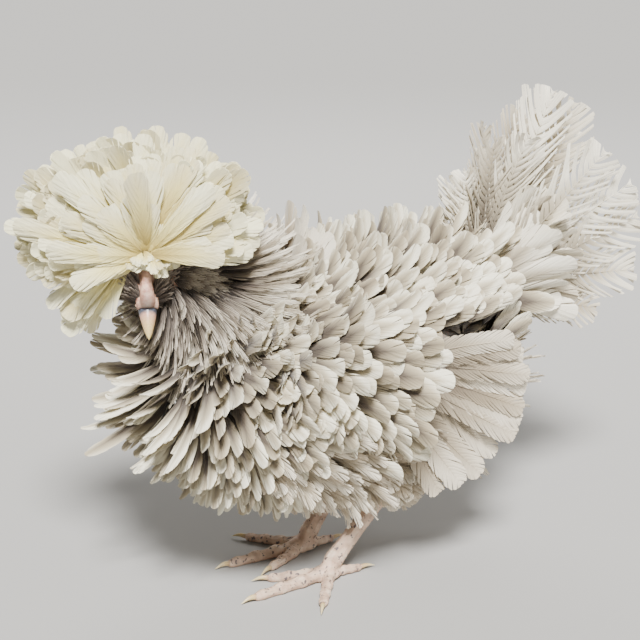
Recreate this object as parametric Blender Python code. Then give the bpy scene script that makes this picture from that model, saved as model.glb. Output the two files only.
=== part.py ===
# A crested frizzle hen, standing, life size, as a still model made of closed solids.
# The bird faces -X and its left side faces -Y. The floor is z = 0.
# Sizes are written in millimetres and turned to metres by MM.
import math
import random

import bmesh
import bpy
from mathutils import Vector
from mathutils.bvhtree import BVHTree

MM = 0.001
GAP = 0.35  # free space between two neighbouring nodes
MOST_STRETCH = 1.6  # a sharp corner of a grown copy moves out by no more than this many gaps
PLAN_CENTRE = Vector((12.4, 0.0, 0.0))  # middle of the outline seen from above, moved to the origin

# Head: turned to the bird's left and tipped down.
HEAD_CENTRE = Vector((-124.0, 4.0, 210.0))
HEAD_TURN = math.radians(66.0)
HEAD_DIP = math.radians(42.0)
BEAK_BASE = 21.35  # from the head's centre along the beak
BEAK_TIP = 44.0
BEAK_DROP = 4.0  # the hooked tip's fall below the beak's line
EYE_RADIUS = 4.6
EYE_AT = (2.0, 11.8, 3.0)  # towards the beak, to the side, towards the crown
LID_RADIUS = 4.7
LID_THICKNESS = 1.1
CREST_RISE = 15.0
CREST_RADIUS = 17.0

# Skin of the torso: x, centre z, half width, height above and depth below the centre
TORSO = (
    (-104, 134, 0, 0, 0),
    (-99, 134, 20, 20, 21),
    (-85, 134, 40, 36, 38),
    (-61, 134, 54, 47, 50),
    (-28, 133, 60, 51, 56),
    (9, 135, 60, 50, 57),
    (44, 139, 54, 44, 58),
    (74, 148, 40, 33, 46),
    (94, 155, 24, 21, 27),
    (102, 158, 12, 11, 12),
    (105, 159, 0, 0, 0),
)

# Skin of the neck: x, y, z, half width, height above and depth below the centre
NECK = (
    (-40, 0, 143, 27, 25, 27),
    (-60, 0, 165, 25, 24, 25),
    (-80, 1, 186, 21, 20, 22),
    (-98, 3, 202, 17.5, 16, 19),
    (-113, 4, 209, 14.5, 13, 15),
)

# Core of each wing: x, distance from the middle plane, z, half height, half thickness
WING = (
    (-66, 50, 158, 9, 6),
    (-44, 63, 155, 24, 11),
    (-8, 69, 147, 31, 12),
    (28, 64, 143, 27, 10),
    (56, 55, 142, 12, 6),
)

# Tail: the fleshy stub
TAIL = (
    (88, 154, 15, 13, 14),
    (112, 166, 15, 13, 13),
    (130, 180, 12, 11, 11),
    (137, 186, 7, 7, 7),
)

# Legs: the feet as they stand, hocks behind them, knees inside the flanks.
LEGS = (
    ("left", -1, Vector((-17, -27, 0)), Vector((31, -29, 61)), Vector((-12, -36, 108))),
    ("right", 1, Vector((-8, 17, 0)), Vector((37, 24, 61)), Vector((-12, 36, 108))),
)
ANKLE_RISE = 9.0
# Toes: name, turn outwards from straight ahead in degrees, length, thickness at the root
TOES = (
    ("inner", -24, 41, 8.2),
    ("middle", 3, 58, 9.2),
    ("outer", 52, 44, 8.2),
    ("hind", 176, 23, 7.2),
)
CLAW_LENGTH = 11.0

# Thigh: share of the way from knee to hock, half width and half depth
THIGH = ((0.0, 19, 23), (0.4, 17, 20), (0.7, 13, 14), (0.9, 8.6, 9.2), (0.97, 7.0, 7.4))

# Feathers: share of the length and of the half width at each step, up to the pointed end
VANE_STEPS = ((0.0, 0.38), (0.45, 0.98), (0.84, 0.8))
SINK = 5.0  # depth of a feather's root below the skin
CUP = 1.6  # how far a feather's edges lie below its middle line
FLOOR_CLEARANCE = 3.0
VANE_THICKNESS = 1.5
CREST_WIDTH = 23.0
# Crest: angle from the crown, count, length, lift at the root, lift at the tip
CREST_ROWS = (
    (10, 4, 60, 68, 40), (36, 9, 66, 62, 30), (60, 11, 66, 54, 22), (82, 12, 63, 42, 10), (104, 10, 57, 28, 0),
)
# Rings of the coat: place along the skin, count, first and last angle in degrees from the top,
# length above, length below, width, lift at the root, lift at the tip
TORSO_ROWS = (
    (0.6, 5, 90, 270, 44, 44, 22, 34, 72), (1.4, 8, 70, 290, 46, 48, 24, 28, 76),
    (2.2, 10, 50, 310, 46, 50, 25, 26, 76), (3.0, 10, 0, 360, 44, 52, 27, 28, 76),
    (3.8, 10, 0, 360, 42, 54, 28, 30, 74), (4.6, 10, 0, 360, 40, 56, 28, 30, 70),
    (5.4, 10, 0, 360, 40, 58, 27, 28, 66), (6.2, 10, 0, 360, 42, 60, 27, 26, 62),
    (7.0, 8, 0, 360, 48, 58, 27, 22, 56), (7.8, 7, 0, 360, 54, 54, 27, 16, 42),
    (8.5, 4, 90, 270, 44, 40, 24, 20, 50),
)
BELLY_DROP = 20.0  # more lift below than above, so that the belly's feathers hang down
NECK_ROWS = (
    (0.9, 8, 0, 360, 42, 58, 15, 30, 74), (1.7, 9, 0, 360, 46, 60, 15, 34, 80),
    (2.5, 8, 0, 360, 46, 58, 15, 38, 86), (3.2, 7, 0, 360, 42, 52, 14, 44, 92),
    (3.8, 6, 0, 360, 34, 44, 13, 54, 98),
)
WING_ROWS = (
    (0.8, 2, 60, 120, 38, 38, 26, 20, 48), (1.4, 3, 36, 138, 42, 42, 27, 18, 46),
    (2.0, 4, 26, 146, 44, 44, 26, 16, 44), (2.6, 3, 36, 138, 46, 46, 27, 13, 40),
    (3.2, 3, 50, 130, 46, 46, 26, 11, 34),
)
# Flight feathers: x and z of the root, droop below level, length, width
FLIGHTS = (
    (34, 154, -6, 74, 18), (38, 150, 5, 82, 19), (39, 146, 16, 88, 19), (38, 141, 27, 93, 19),
    (35, 137, 38, 96, 19), (31, 134, 49, 94, 19), (25, 131, 59, 86, 19),
)
FLIGHT_ROOT_Y = 69.0
FLIGHT_LAYER = 1.8  # each flight feather lies this much nearer the body than the one above it
# Tail feathers of one side: angle above level, spread to the side, length, width
RECTRICES = (
    (82, 4, 122, 24), (65, 7, 125, 25), (48, 10, 124, 25),
    (31, 13, 121, 25), (14, 16, 115, 25), (-4, 20, 100, 25),
)
RECTRIX_ROOT = 11.0  # the roots stand on an arc of this radius round the tail's hub
RECTRIX_LAYER = 2.1  # each tail feather lies this much further out than the one above it
TAIL_HUB = Vector((108, 0, 166))
TAIL_ROWS = ((1.1, 5, 0, 360, 58, 60, 27, 24, 36), (1.8, 5, 0, 360, 62, 60, 27, 20, 30))
THIGH_ROWS = ((2.3, 6, 0, 360, 34, 34, 18, 14, 40),)
RETRY_LENGTHS = (1.0, 0.86, 0.72)
RETRY_LIFTS = (0.0, 14.0, -12.0, 28.0)

FORWARD = Vector((-math.cos(HEAD_TURN), -math.sin(HEAD_TURN), 0.0))
BEAKWARD = FORWARD * math.cos(HEAD_DIP) - Vector((0, 0, 1)) * math.sin(HEAD_DIP)
HEAD_LEFT = Vector((math.sin(HEAD_TURN), -math.cos(HEAD_TURN), 0.0))
CROWNWARD = BEAKWARD.cross(HEAD_LEFT)


def clear_scene():
    for item in list(bpy.data.objects):
        bpy.data.objects.remove(item, do_unlink=True)


def material(name, colour, roughness):
    made = bpy.data.materials.get(name)
    if made is None:
        made = bpy.data.materials.new(name)
        made.use_nodes = True
        shader = made.node_tree.nodes["Principled BSDF"]
        shader.inputs["Base Color"].default_value = (*colour, 1.0)
        shader.inputs["Roughness"].default_value = roughness
    return made


def feathers():
    return material("feathers", (0.62, 0.60, 0.52), 0.75)


def skin():
    return material("skin", (0.62, 0.42, 0.36), 0.6)


def horn():
    return material("horn", (0.72, 0.60, 0.36), 0.45)


def scales():
    return material("scales", (0.66, 0.52, 0.44), 0.6)


def eye_glass():
    return material("eye", (0.10, 0.04, 0.02), 0.15)


def world_points(points):
    return [(point - PLAN_CENTRE) * MM for point in points]


def build_object(name, points, faces, finish):
    mesh = bpy.data.meshes.new(name)
    mesh.from_pydata(world_points(points), [], faces)
    work = bmesh.new()
    work.from_mesh(mesh)
    bmesh.ops.recalc_face_normals(work, faces=work.faces)
    work.to_mesh(mesh)
    work.free()
    made = bpy.data.objects.new(name, mesh)
    bpy.context.scene.collection.objects.link(made)
    mesh.materials.append(finish)
    mesh.shade_smooth()
    return made


def head_point(along, side, rise):
    return HEAD_CENTRE + BEAKWARD * along + HEAD_LEFT * side + CROWNWARD * rise


# A lofted body: rings round a centre line. A station is centre, half width, height above, depth below.
def loft(stations, sides, upward=Vector((0, 0, 1))):
    points = []
    faces = []
    rings = []
    for index, (centre, wide, above, below) in enumerate(stations):
        side, top = station_frame(stations, index, upward)
        if wide == 0:
            points.append(centre)
            rings.append([len(points) - 1])
            continue
        ring = []
        for corner in range(sides):
            angle = 2 * math.pi * corner / sides
            height = above if math.cos(angle) > 0 else below
            points.append(centre + side * wide * math.sin(angle) + top * height * math.cos(angle))
            ring.append(len(points) - 1)
        rings.append(ring)
    for first, second in zip(rings, rings[1:]):
        faces.extend(band(first, second, sides))
    if len(rings[0]) > 1:
        faces.append(tuple(rings[0]))
    if len(rings[-1]) > 1:
        faces.append(tuple(reversed(rings[-1])))
    return points, faces


def station_frame(stations, index, upward):
    before = stations[max(index - 1, 0)][0]
    after = stations[min(index + 1, len(stations) - 1)][0]
    along = (after - before).normalized()
    side = along.cross(upward).normalized()
    return side, side.cross(along)


def band(first, second, sides):
    if len(first) == 1:
        return [(first[0], second[i], second[(i + 1) % sides]) for i in range(sides)]
    if len(second) == 1:
        return [(first[i], second[0], first[(i + 1) % sides]) for i in range(sides)]
    return [(first[i], second[i], second[(i + 1) % sides], first[(i + 1) % sides]) for i in range(sides)]


def torso_stations():
    return [(Vector((x, 0, z)), wide, above, below) for x, z, wide, above, below in TORSO]


def neck_stations():
    return [(Vector((x, y, z)), wide, above, below) for x, y, z, wide, above, below in NECK]


def wing_stations(side):
    return [(Vector((x, out * side, z)), thick, high, high) for x, out, z, high, thick in WING]


def tail_stations():
    return [(Vector((x, 0, z)), wide, above, below) for x, z, wide, above, below in TAIL]


def thigh_stations(hock, knee):
    axis = hock - knee
    return [(knee + axis * share, wide, deep, deep) for share, wide, deep in THIGH]


# A point on a lofted skin, with the way out of it and the way along it.
def skin_place(stations, position, angle, upward=Vector((0, 0, 1))):
    step = 0.02
    here = skin_point(stations, position, angle, upward)
    onward = skin_point(stations, position + step, angle, upward)
    behind = skin_point(stations, position - step, angle, upward)
    beside = skin_point(stations, position, angle + step, upward)
    along = (onward - behind).normalized()
    out = (beside - here).cross(along).normalized()
    return here, out, along


def skin_point(stations, position, angle, upward):
    position = min(max(position, 0.0), len(stations) - 1.001)
    index = int(position)
    share = position - index
    first = ring_point(stations, index, angle, upward)
    second = ring_point(stations, index + 1, angle, upward)
    return first.lerp(second, share)


def ring_point(stations, index, angle, upward):
    centre, wide, above, below = stations[index]
    side, top = station_frame(stations, index, upward)
    height = above if math.cos(angle) > 0 else below
    return centre + side * wide * math.sin(angle) + top * height * math.cos(angle)


def apply_boolean(target, operation, other=None, group=None, solver="EXACT"):
    cut = target.modifiers.new("join", "BOOLEAN")
    cut.operation = operation
    cut.solver = solver
    if group is None:
        cut.object = other
    else:
        cut.operand_type = "COLLECTION"
        cut.collection = group
    bpy.context.view_layer.update()
    depsgraph = bpy.context.evaluated_depsgraph_get()
    result = bpy.data.meshes.new_from_object(target.evaluated_get(depsgraph))
    target.modifiers.remove(cut)
    target.data = result


def remove(item):
    bpy.data.objects.remove(item, do_unlink=True)


# A copy of a node, grown by a little along its normals, that cuts its neighbour clear of it.
def grown_copy(source, distance):
    copy = source.copy()
    copy.data = source.data.copy()
    bpy.context.scene.collection.objects.link(copy)
    work = bmesh.new()
    work.from_mesh(copy.data)
    bmesh.ops.triangulate(work, faces=work.faces)
    work.normal_update()
    steps = [vert.normal * min(vert.calc_shell_factor(), MOST_STRETCH) for vert in work.verts]
    for vert, step in zip(work.verts, steps):
        vert.co += step * distance * MM
    work.to_mesh(copy.data)
    work.free()
    return copy


def cut_clear(target, *neighbours, solver="MANIFOLD"):
    for neighbour in neighbours:
        cutter = grown_copy(neighbour, GAP)
        apply_boolean(target, "DIFFERENCE", cutter, solver=solver)
        remove(cutter)
    keep_largest(target)


def keep_largest(target):
    work = bmesh.new()
    work.from_mesh(target.data)
    shells = []
    left = set(work.faces)
    while left:
        start = left.pop()
        shell = [start]
        queue = [start]
        while queue:
            for edge in queue.pop().edges:
                for face in edge.link_faces:
                    if face in left:
                        left.remove(face)
                        shell.append(face)
                        queue.append(face)
        shells.append(shell)
    shells.sort(key=shell_volume, reverse=True)
    dropped = [face for shell in shells[1:] for face in shell]
    bmesh.ops.delete(work, geom=dropped, context="FACES")
    work.to_mesh(target.data)
    work.free()


def shell_volume(shell):
    total = 0.0
    for face in shell:
        corners = [vert.co for vert in face.verts]
        for second, third in zip(corners[1:], corners[2:]):
            total += corners[0].dot(second.cross(third)) / 6
    return total


def join_all(target, pieces, solver="EXACT"):
    group = bpy.data.collections.new(target.name + "_pieces")
    bpy.context.scene.collection.children.link(group)
    for piece in pieces:
        group.objects.link(piece)
        bpy.context.scene.collection.objects.unlink(piece)
    apply_boolean(target, "UNION", group=group, solver=solver)
    for piece in list(group.objects):
        remove(piece)
    bpy.data.collections.remove(group)
    keep_largest(target)


def ellipsoid(name, centre, radii, axes, rings, sides, finish):
    points = [centre + axes[2] * radii[2]]
    rows = [[0]]
    for ring in range(1, rings):
        polar = math.pi * ring / rings
        row = []
        for corner in range(sides):
            angle = 2 * math.pi * corner / sides
            flat = axes[0] * radii[0] * math.cos(angle) + axes[1] * radii[1] * math.sin(angle)
            points.append(centre + flat * math.sin(polar) + axes[2] * radii[2] * math.cos(polar))
            row.append(len(points) - 1)
        rows.append(row)
    points.append(centre - axes[2] * radii[2])
    rows.append([len(points) - 1])
    faces = []
    for first, second in zip(rows, rows[1:]):
        faces.extend(band(first, second, sides))
    return build_object(name, points, faces, finish)


# A closed ring, for the lids round the eye.
def ring_body(name, centre, axis, radius, thickness, sides, corners, finish):
    first = axis.orthogonal().normalized()
    second = axis.cross(first)
    points = []
    faces = []
    for step in range(sides):
        turn = 2 * math.pi * step / sides
        outward = first * math.cos(turn) + second * math.sin(turn)
        for corner in range(corners):
            angle = 2 * math.pi * corner / corners
            reach = outward * (radius + thickness * math.cos(angle))
            points.append(centre + reach + axis * thickness * math.sin(angle))
    for step in range(sides):
        following = (step + 1) % sides
        for corner in range(corners):
            beside = (corner + 1) % corners
            faces.append((
                step * corners + corner, following * corners + corner,
                following * corners + beside, step * corners + beside,
            ))
    return build_object(name, points, faces, finish)


# Skull, lids, nostril hood, ear lobes and wattles in one piece of bare skin.
def build_head():
    rows = (
        (-24, 0, 0, 0), (-21, 9, 9, 9), (-12, 14, 15, 13), (0, 15, 16, 14),
        (11, 12.5, 13, 12), (17, 9.2, 10, 9.5), (21, 7.4, 8, 7.5),
    )
    stations = [(head_point(along, 0, 0), wide, above, below) for along, wide, above, below in rows]
    points, faces = loft(stations, 16, CROWNWARD)
    head = build_object("head", points, faces, skin())
    parts = [build_knob()]
    for side in (-1, 1):
        parts.append(build_lids(side))
        parts.append(build_ear(side))
        parts.append(build_wattle(side))
    join_all(head, parts)
    for side in (-1, 1):
        socket = ellipsoid(
            "socket", eye_centre(side), (EYE_RADIUS + GAP,) * 3, head_axes(), 7, 12, skin()
        )
        apply_boolean(head, "DIFFERENCE", socket)
        remove(socket)
    keep_largest(head)
    return head


def head_axes():
    return BEAKWARD, HEAD_LEFT, CROWNWARD


def eye_centre(side):
    return head_point(EYE_AT[0], EYE_AT[1] * side, EYE_AT[2])


# The raised, cavernous nostril hood of a crested breed, running up the forehead.
def build_knob():
    rows = ((7, 0, 14), (10, 3.2, 13.5), (15, 4.2, 11.0), (20, 4.4, 8.2), (21.2, 3.4, 7.0))
    stations = [
        (head_point(along, 0, rise), wide, wide * 0.9, wide) for along, wide, rise in rows
    ]
    points, faces = loft(stations, 10, CROWNWARD)
    return build_object("knob", points, faces, skin())


def build_lids(side):
    outward = (HEAD_LEFT * side * 0.94 + BEAKWARD * 0.3 + CROWNWARD * 0.12).normalized()
    centre = eye_centre(side) + outward * 2.2
    return ring_body("lids", centre, outward, LID_RADIUS, LID_THICKNESS, 12, 5, skin())


def build_ear(side):
    centre = head_point(-8.5, 13.0 * side, -4.0)
    return ellipsoid("ear", centre, (4.5, 2.6, 5.5), head_axes(), 6, 8, skin())


def build_wattle(side):
    centre = head_point(13.5, 5.2 * side, -11.0)
    return ellipsoid("wattle", centre, (3.6, 2.2, 5.0), head_axes(), 6, 8, skin())


def beak_stations(base, tip, wide, above, below, drop):
    rows = []
    steps = (0.0, 0.22, 0.5, 0.76, 0.93)
    sizes = (1.0, 0.9, 0.68, 0.42, 0.2)
    for step, size in zip(steps, sizes):
        along = base + (tip - base) * step
        rows.append((head_point(along, 0, -drop * step ** 2), wide * size, above * size, below * size))
    rows.append((head_point(tip, 0, -drop * 1.1), 0, 0, 0))
    return rows


def build_beak():
    upper_rows = beak_stations(BEAK_BASE, BEAK_TIP, 6.0, 6.6, 1.2, BEAK_DROP)
    points, faces = loft(upper_rows, 12, CROWNWARD)
    upper = build_object("beak_upper", points, faces, horn())
    for side in (-1, 1):
        nostril = ellipsoid(
            "nostril", head_point(BEAK_BASE + 4.0, 4.6 * side, 3.0), (2.6, 1.3, 1.0), head_axes(), 6, 8, horn()
        )
        apply_boolean(upper, "DIFFERENCE", nostril)
        remove(nostril)
    lower_rows = [
        (row[0] - CROWNWARD * 2.0, row[1] * 0.86, row[2], row[3])
        for row in beak_stations(BEAK_BASE, BEAK_TIP - 3.5, 6.0, 2.2, 4.2, BEAK_DROP * 0.7)
    ]
    points, faces = loft(lower_rows, 12, CROWNWARD)
    lower = build_object("beak_lower", points, faces, horn())
    cut_clear(lower, upper)
    return upper, lower


def build_eyes():
    radii = (EYE_RADIUS,) * 3
    left = ellipsoid("eye_left", eye_centre(1), radii, head_axes(), 7, 12, eye_glass())
    right = ellipsoid("eye_right", eye_centre(-1), radii, head_axes(), 7, 12, eye_glass())
    return left, right


def crest_centre():
    return head_point(-2.0, 0, CREST_RISE)


def build_core(name, stations, sides, upward=Vector((0, 0, 1))):
    points, faces = loft(stations, sides, upward)
    return build_object(name, points, faces, feathers())


# One feather: a thin blade that leaves the skin at one lift and ends at another.
def vane_points(root, lie, out, shape, grow=0.0):
    length, width, thick, lift_root, lift_tip = shape
    side = lie.cross(out).normalized()
    place = root
    last = 0.0
    points = []
    for share, wide in VANE_STEPS:
        heading, face = vane_heading(lie, out, side, lift_root, lift_tip, share)
        if share == 0.0:
            centre = root - heading * SINK
        else:
            middle, _ = vane_heading(lie, out, side, lift_root, lift_tip, (share + last) / 2)
            place = place + middle * length * (share - last)
            centre = place
        half = width / 2 * wide + grow
        deep = thick / 2 + grow
        points.append(centre + side * half - face * CUP * wide)
        points.append(centre + face * deep)
        points.append(centre - side * half - face * CUP * wide)
        points.append(centre - face * deep)
        last = share
    heading, face = vane_heading(lie, out, side, lift_root, lift_tip, 1.0)
    points.append(place + heading * (length * (1.0 - last) + grow))
    return points


def vane_heading(lie, out, side, lift_root, lift_tip, share):
    lift = math.radians(lift_root + (lift_tip - lift_root) * share)
    heading = lie * math.cos(lift) + out * math.sin(lift)
    return heading, side.cross(heading)


# Both faces of a feather are split along the same lines, so that they never cross.
def vane_faces():
    faces = [(0, 1, 2), (0, 2, 3)]
    last = len(VANE_STEPS) - 1
    for step in range(last):
        low = step * 4
        high = low + 4
        for edge in (0, 2):
            for middle in (1, 3):
                faces.append((low + edge, low + middle, high + middle))
                faces.append((low + edge, high + middle, high + edge))
    tip = (last + 1) * 4
    for corner in range(4):
        faces.append((last * 4 + corner, last * 4 + (corner + 1) % 4, tip))
    return faces


def tree_of(item):
    points = [vert.co.copy() for vert in item.data.vertices]
    return BVHTree.FromPolygons(points, [tuple(face.vertices) for face in item.data.polygons])


# Adds one feather where it clears every other node, shorter or at another lift if it must.
def grow_vane(pieces, root, lie, out, shape, obstacles):
    length, width, thick, lift_root, lift_tip = shape
    lie = (lie - out * lie.dot(out)).normalized()
    for share in RETRY_LENGTHS:
        for lift in RETRY_LIFTS:
            tried = (length * share, width, thick, lift_root + lift, lift_tip + lift)
            grown = vane_points(root, lie, out, tried, GAP)
            if min(point.z for point in grown) < FLOOR_CLEARANCE:
                continue
            shape_tree = BVHTree.FromPolygons(world_points(grown), vane_faces())
            if any(shape_tree.overlap(tree) for tree in obstacles):
                continue
            points = vane_points(root, lie, out, tried)
            pieces.append(build_object("vane", points, vane_faces(), feathers()))
            return True
    return False


# Rings of feathers on a lofted skin, a ring for each row.
def grow_rows(pieces, stations, rows, direction, obstacles, seed, droop=0.0, upward=Vector((0, 0, 1))):
    chance = random.Random(seed)
    for number, row in enumerate(rows):
        position, count, first, last, above, below, width, lift_root, lift_tip = row
        whole = last - first >= 360
        step = (last - first) / (count if whole else max(count - 1, 1))
        shift = step * 0.5 if whole and number % 2 else 0.0
        for item in range(count):
            angle = math.radians(first + step * item + shift + chance.uniform(-3, 3))
            root, out, along = skin_place(stations, position, angle, upward)
            size = above + (below - above) * (1 - math.cos(angle)) / 2
            size *= chance.uniform(0.92, 1.08)
            more = droop * (1 - math.cos(angle)) / 2 + chance.uniform(-4, 4)
            shape = (size, width, VANE_THICKNESS, lift_root + more, lift_tip + more)
            grow_vane(pieces, root, along * direction, out, shape, obstacles)


def coat_crest(crest, obstacles):
    pieces = []
    chance = random.Random(11)
    centre = crest_centre()
    for row, (polar, count, length, lift_root, lift_tip) in enumerate(CREST_ROWS):
        for item in range(count):
            around = math.pi + 2 * math.pi * (item + row % 2 / 2) / count + chance.uniform(-0.05, 0.05)
            frontness = max(0.0, math.cos(around)) ** 1.5
            tilt = math.radians(polar)
            flat = BEAKWARD * math.cos(around) + HEAD_LEFT * math.sin(around)
            out = (CROWNWARD * math.cos(tilt) + flat * math.sin(tilt)).normalized()
            lie = flat * math.cos(tilt) - CROWNWARD * math.sin(tilt)
            if polar > 50 and frontness > 0.35:
                continue
            length_here = length * (1 - 0.6 * frontness * min(polar / 40, 1))
            root = centre + out * CREST_RADIUS * 0.96
            shape = (length_here * chance.uniform(0.94, 1.06), CREST_WIDTH, VANE_THICKNESS, lift_root, lift_tip)
            grow_vane(pieces, root, lie, out, shape, obstacles)
    join_all(crest, pieces, "MANIFOLD")


def coat_torso(torso, obstacles):
    pieces = []
    grow_rows(pieces, torso_stations(), TORSO_ROWS, 1, obstacles, 21, BELLY_DROP)
    join_all(torso, pieces, "MANIFOLD")


def coat_neck(neck, obstacles):
    pieces = []
    grow_rows(pieces, neck_stations(), NECK_ROWS, -1, obstacles, 31)
    join_all(neck, pieces, "MANIFOLD")


def coat_wing(wing, side, obstacles):
    pieces = []
    outward = Vector((0, side, 0))
    for number, (start_x, start_z, droop, length, width) in enumerate(FLIGHTS):
        root = Vector((start_x, (FLIGHT_ROOT_Y - number * FLIGHT_LAYER) * side, start_z))
        angle = math.radians(droop)
        lie = Vector((math.cos(angle), 0.10 * side, -math.sin(angle)))
        grow_vane(pieces, root, lie, outward, (length, width, VANE_THICKNESS, 2, 16), obstacles)
    rows = []
    for position, count, first, last, *sizes in WING_ROWS:
        span = (first, last) if side < 0 else (-last, -first)
        rows.append((position, count, *span, *sizes))
    grow_rows(pieces, wing_stations(side), rows, 1, obstacles, 41)
    join_all(wing, pieces, "MANIFOLD")


def coat_tail(tail, obstacles):
    pieces = []
    for side in (-1, 1):
        for number, (steep, spread, length, width) in enumerate(RECTRICES):
            angle = math.radians(steep)
            lean = math.radians(spread) * side
            lie = Vector((math.cos(angle) * math.cos(lean), math.sin(lean), math.sin(angle) * math.cos(lean)))
            out = Vector((-math.sin(angle) * 0.25, side, 0.1)).normalized()
            root = TAIL_HUB + Vector((0, (2.0 + RECTRIX_LAYER * number) * side, 0)) + lie * RECTRIX_ROOT
            grow_vane(pieces, root, lie, out, (length, width, VANE_THICKNESS, 0, 10), obstacles)
    grow_rows(pieces, tail_stations(), TAIL_ROWS, 1, obstacles, 51)
    join_all(tail, pieces, "MANIFOLD")


def coat_thigh(thigh, hock, knee, obstacles):
    pieces = []
    grow_rows(pieces, thigh_stations(hock, knee), THIGH_ROWS, 1, obstacles, 61, upward=Vector((1, 0, 0)))
    join_all(thigh, pieces, "MANIFOLD")


def toe_directions(side):
    for name, turn, length, thick in TOES:
        angle = math.radians(turn) * side
        yield name, Vector((-math.cos(angle), math.sin(angle), 0)), length, thick


def build_foot(name, side, foot, hock):
    ankle = foot + Vector((0, 0, ANKLE_RISE))
    axis = hock - ankle
    rows = ((-0.10, 0, 0), (-0.06, 4.5, 5), (0.06, 5.4, 6.4), (0.2, 4.7, 5.6), (0.6, 4.6, 5.6),
            (0.88, 5.6, 6.6), (1.0, 6.2, 7.4), (1.09, 4.0, 4.6), (1.11, 0, 0))
    stations = [(ankle + axis * t, wide, deep, deep) for t, wide, deep in rows]
    points, faces = loft(stations, 10, Vector((1, 0, 0)))
    shank = build_object(name, points, faces, scales())
    toes = []
    for toe, direction, length, thick in toe_directions(side):
        toes.append(build_toe(toe, foot, direction, length, thick))
    join_all(shank, toes)
    flatten(shank)
    keep_largest(shank)
    return shank


def build_toe(name, foot, direction, length, thick):
    half = thick / 2
    rows = ((-0.08, 0.7, 6.5), (0.12, 1.0, 5.5), (0.3, 0.8, 3.4), (0.38, 0.95, 3.6),
            (0.56, 0.72, 2.8), (0.64, 0.86, 3.0), (0.8, 0.64, 2.4), (0.87, 0.74, 2.6), (0.97, 0.5, 2.4))
    stations = []
    for t, size, rise in rows:
        radius = half * size
        centre = foot + direction * length * t + Vector((0, 0, max(rise, radius * 0.86)))
        stations.append((centre, radius, radius, radius))
    points, faces = loft(stations, 7)
    return build_object(name, points, faces, scales())


# The soles are cut flat at floor level.
def flatten(target):
    work = bmesh.new()
    work.from_mesh(target.data)
    everything = work.verts[:] + work.edges[:] + work.faces[:]
    cut = bmesh.ops.bisect_plane(
        work, geom=everything, plane_co=(0, 0, 0), plane_no=(0, 0, 1), clear_inner=True, dist=1e-6
    )
    edges = [item for item in cut["geom_cut"] if isinstance(item, bmesh.types.BMEdge)]
    bmesh.ops.holes_fill(work, edges=edges)
    bmesh.ops.recalc_face_normals(work, faces=work.faces)
    work.to_mesh(target.data)
    work.free()


def build_claws(side_name, side, foot, foot_solid):
    for toe, direction, length, thick in toe_directions(side):
        start = foot + direction * (length * 0.97 + GAP) + Vector((0, 0, 2.6))
        rows = ((0.0, 0.42, 0.0), (0.35, 0.34, 0.6), (0.7, 0.2, 0.0))
        stations = []
        for t, size, rise in rows:
            radius = thick / 2 * size
            centre = start + direction * CLAW_LENGTH * t + Vector((0, 0, rise))
            stations.append((centre, radius, radius, radius))
        tip = start + direction * CLAW_LENGTH
        tip.z = 0.7
        stations.append((tip, 0, 0, 0))
        points, faces = loft(stations, 8)
        claw = build_object("claw_" + side_name + "_" + toe, points, faces, horn())
        cut_clear(claw, foot_solid)


def build_cores(face):
    cores = {"torso": build_core("torso", torso_stations(), 20)}
    cores["neck"] = build_core("neck", neck_stations(), 16)
    cut_clear(cores["neck"], cores["torso"], *face)
    centre = crest_centre()
    cores["crest"] = ellipsoid("crest", centre, (CREST_RADIUS,) * 3, head_axes(), 8, 14, feathers())
    cut_clear(cores["crest"], *face, cores["neck"])
    for name, side in (("wing_left", -1), ("wing_right", 1)):
        cores[name] = build_core(name, wing_stations(side), 12)
        cut_clear(cores[name], cores["torso"])
    cores["tail"] = build_core("tail", tail_stations(), 12)
    cut_clear(cores["tail"], cores["torso"])
    return cores


def build_legs(cores):
    for side_name, side, foot, hock, knee in LEGS:
        name = "foot_" + side_name
        cores[name] = build_foot(name, side, foot, hock)
        build_claws(side_name, side, foot, cores[name])
        thigh = "thigh_" + side_name
        cores[thigh] = build_core(thigh, thigh_stations(hock, knee), 14, Vector((1, 0, 0)))
        cut_clear(cores[thigh], cores["torso"], cores[name])


def build():
    clear_scene()
    face = (build_head(), *build_beak(), *build_eyes())
    nodes = build_cores(face)
    build_legs(nodes)
    coats = [
        ("crest", coat_crest, ()), ("tail", coat_tail, ()),
        ("wing_left", coat_wing, (-1,)), ("wing_right", coat_wing, (1,)),
        ("neck", coat_neck, ()), ("torso", coat_torso, ()),
    ]
    for side_name, side, foot, hock, knee in LEGS:
        coats.append(("thigh_" + side_name, coat_thigh, (hock, knee)))
    face_trees = [tree_of(item) for item in face]
    for name, coat, extra in coats:
        obstacles = face_trees + [tree_of(item) for other, item in nodes.items() if other != name]
        coat(nodes[name], *extra, obstacles)


build()
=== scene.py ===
# A crested frizzle hen, standing, life size. Sizes are in millimetres until they reach a mesh.
from math import acos, atan2, copysign, cos, degrees, pi, radians, sin, sqrt

import bmesh
import bpy
import numpy as np
from mathutils import Matrix, Vector
from mathutils.bvhtree import BVHTree


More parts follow.
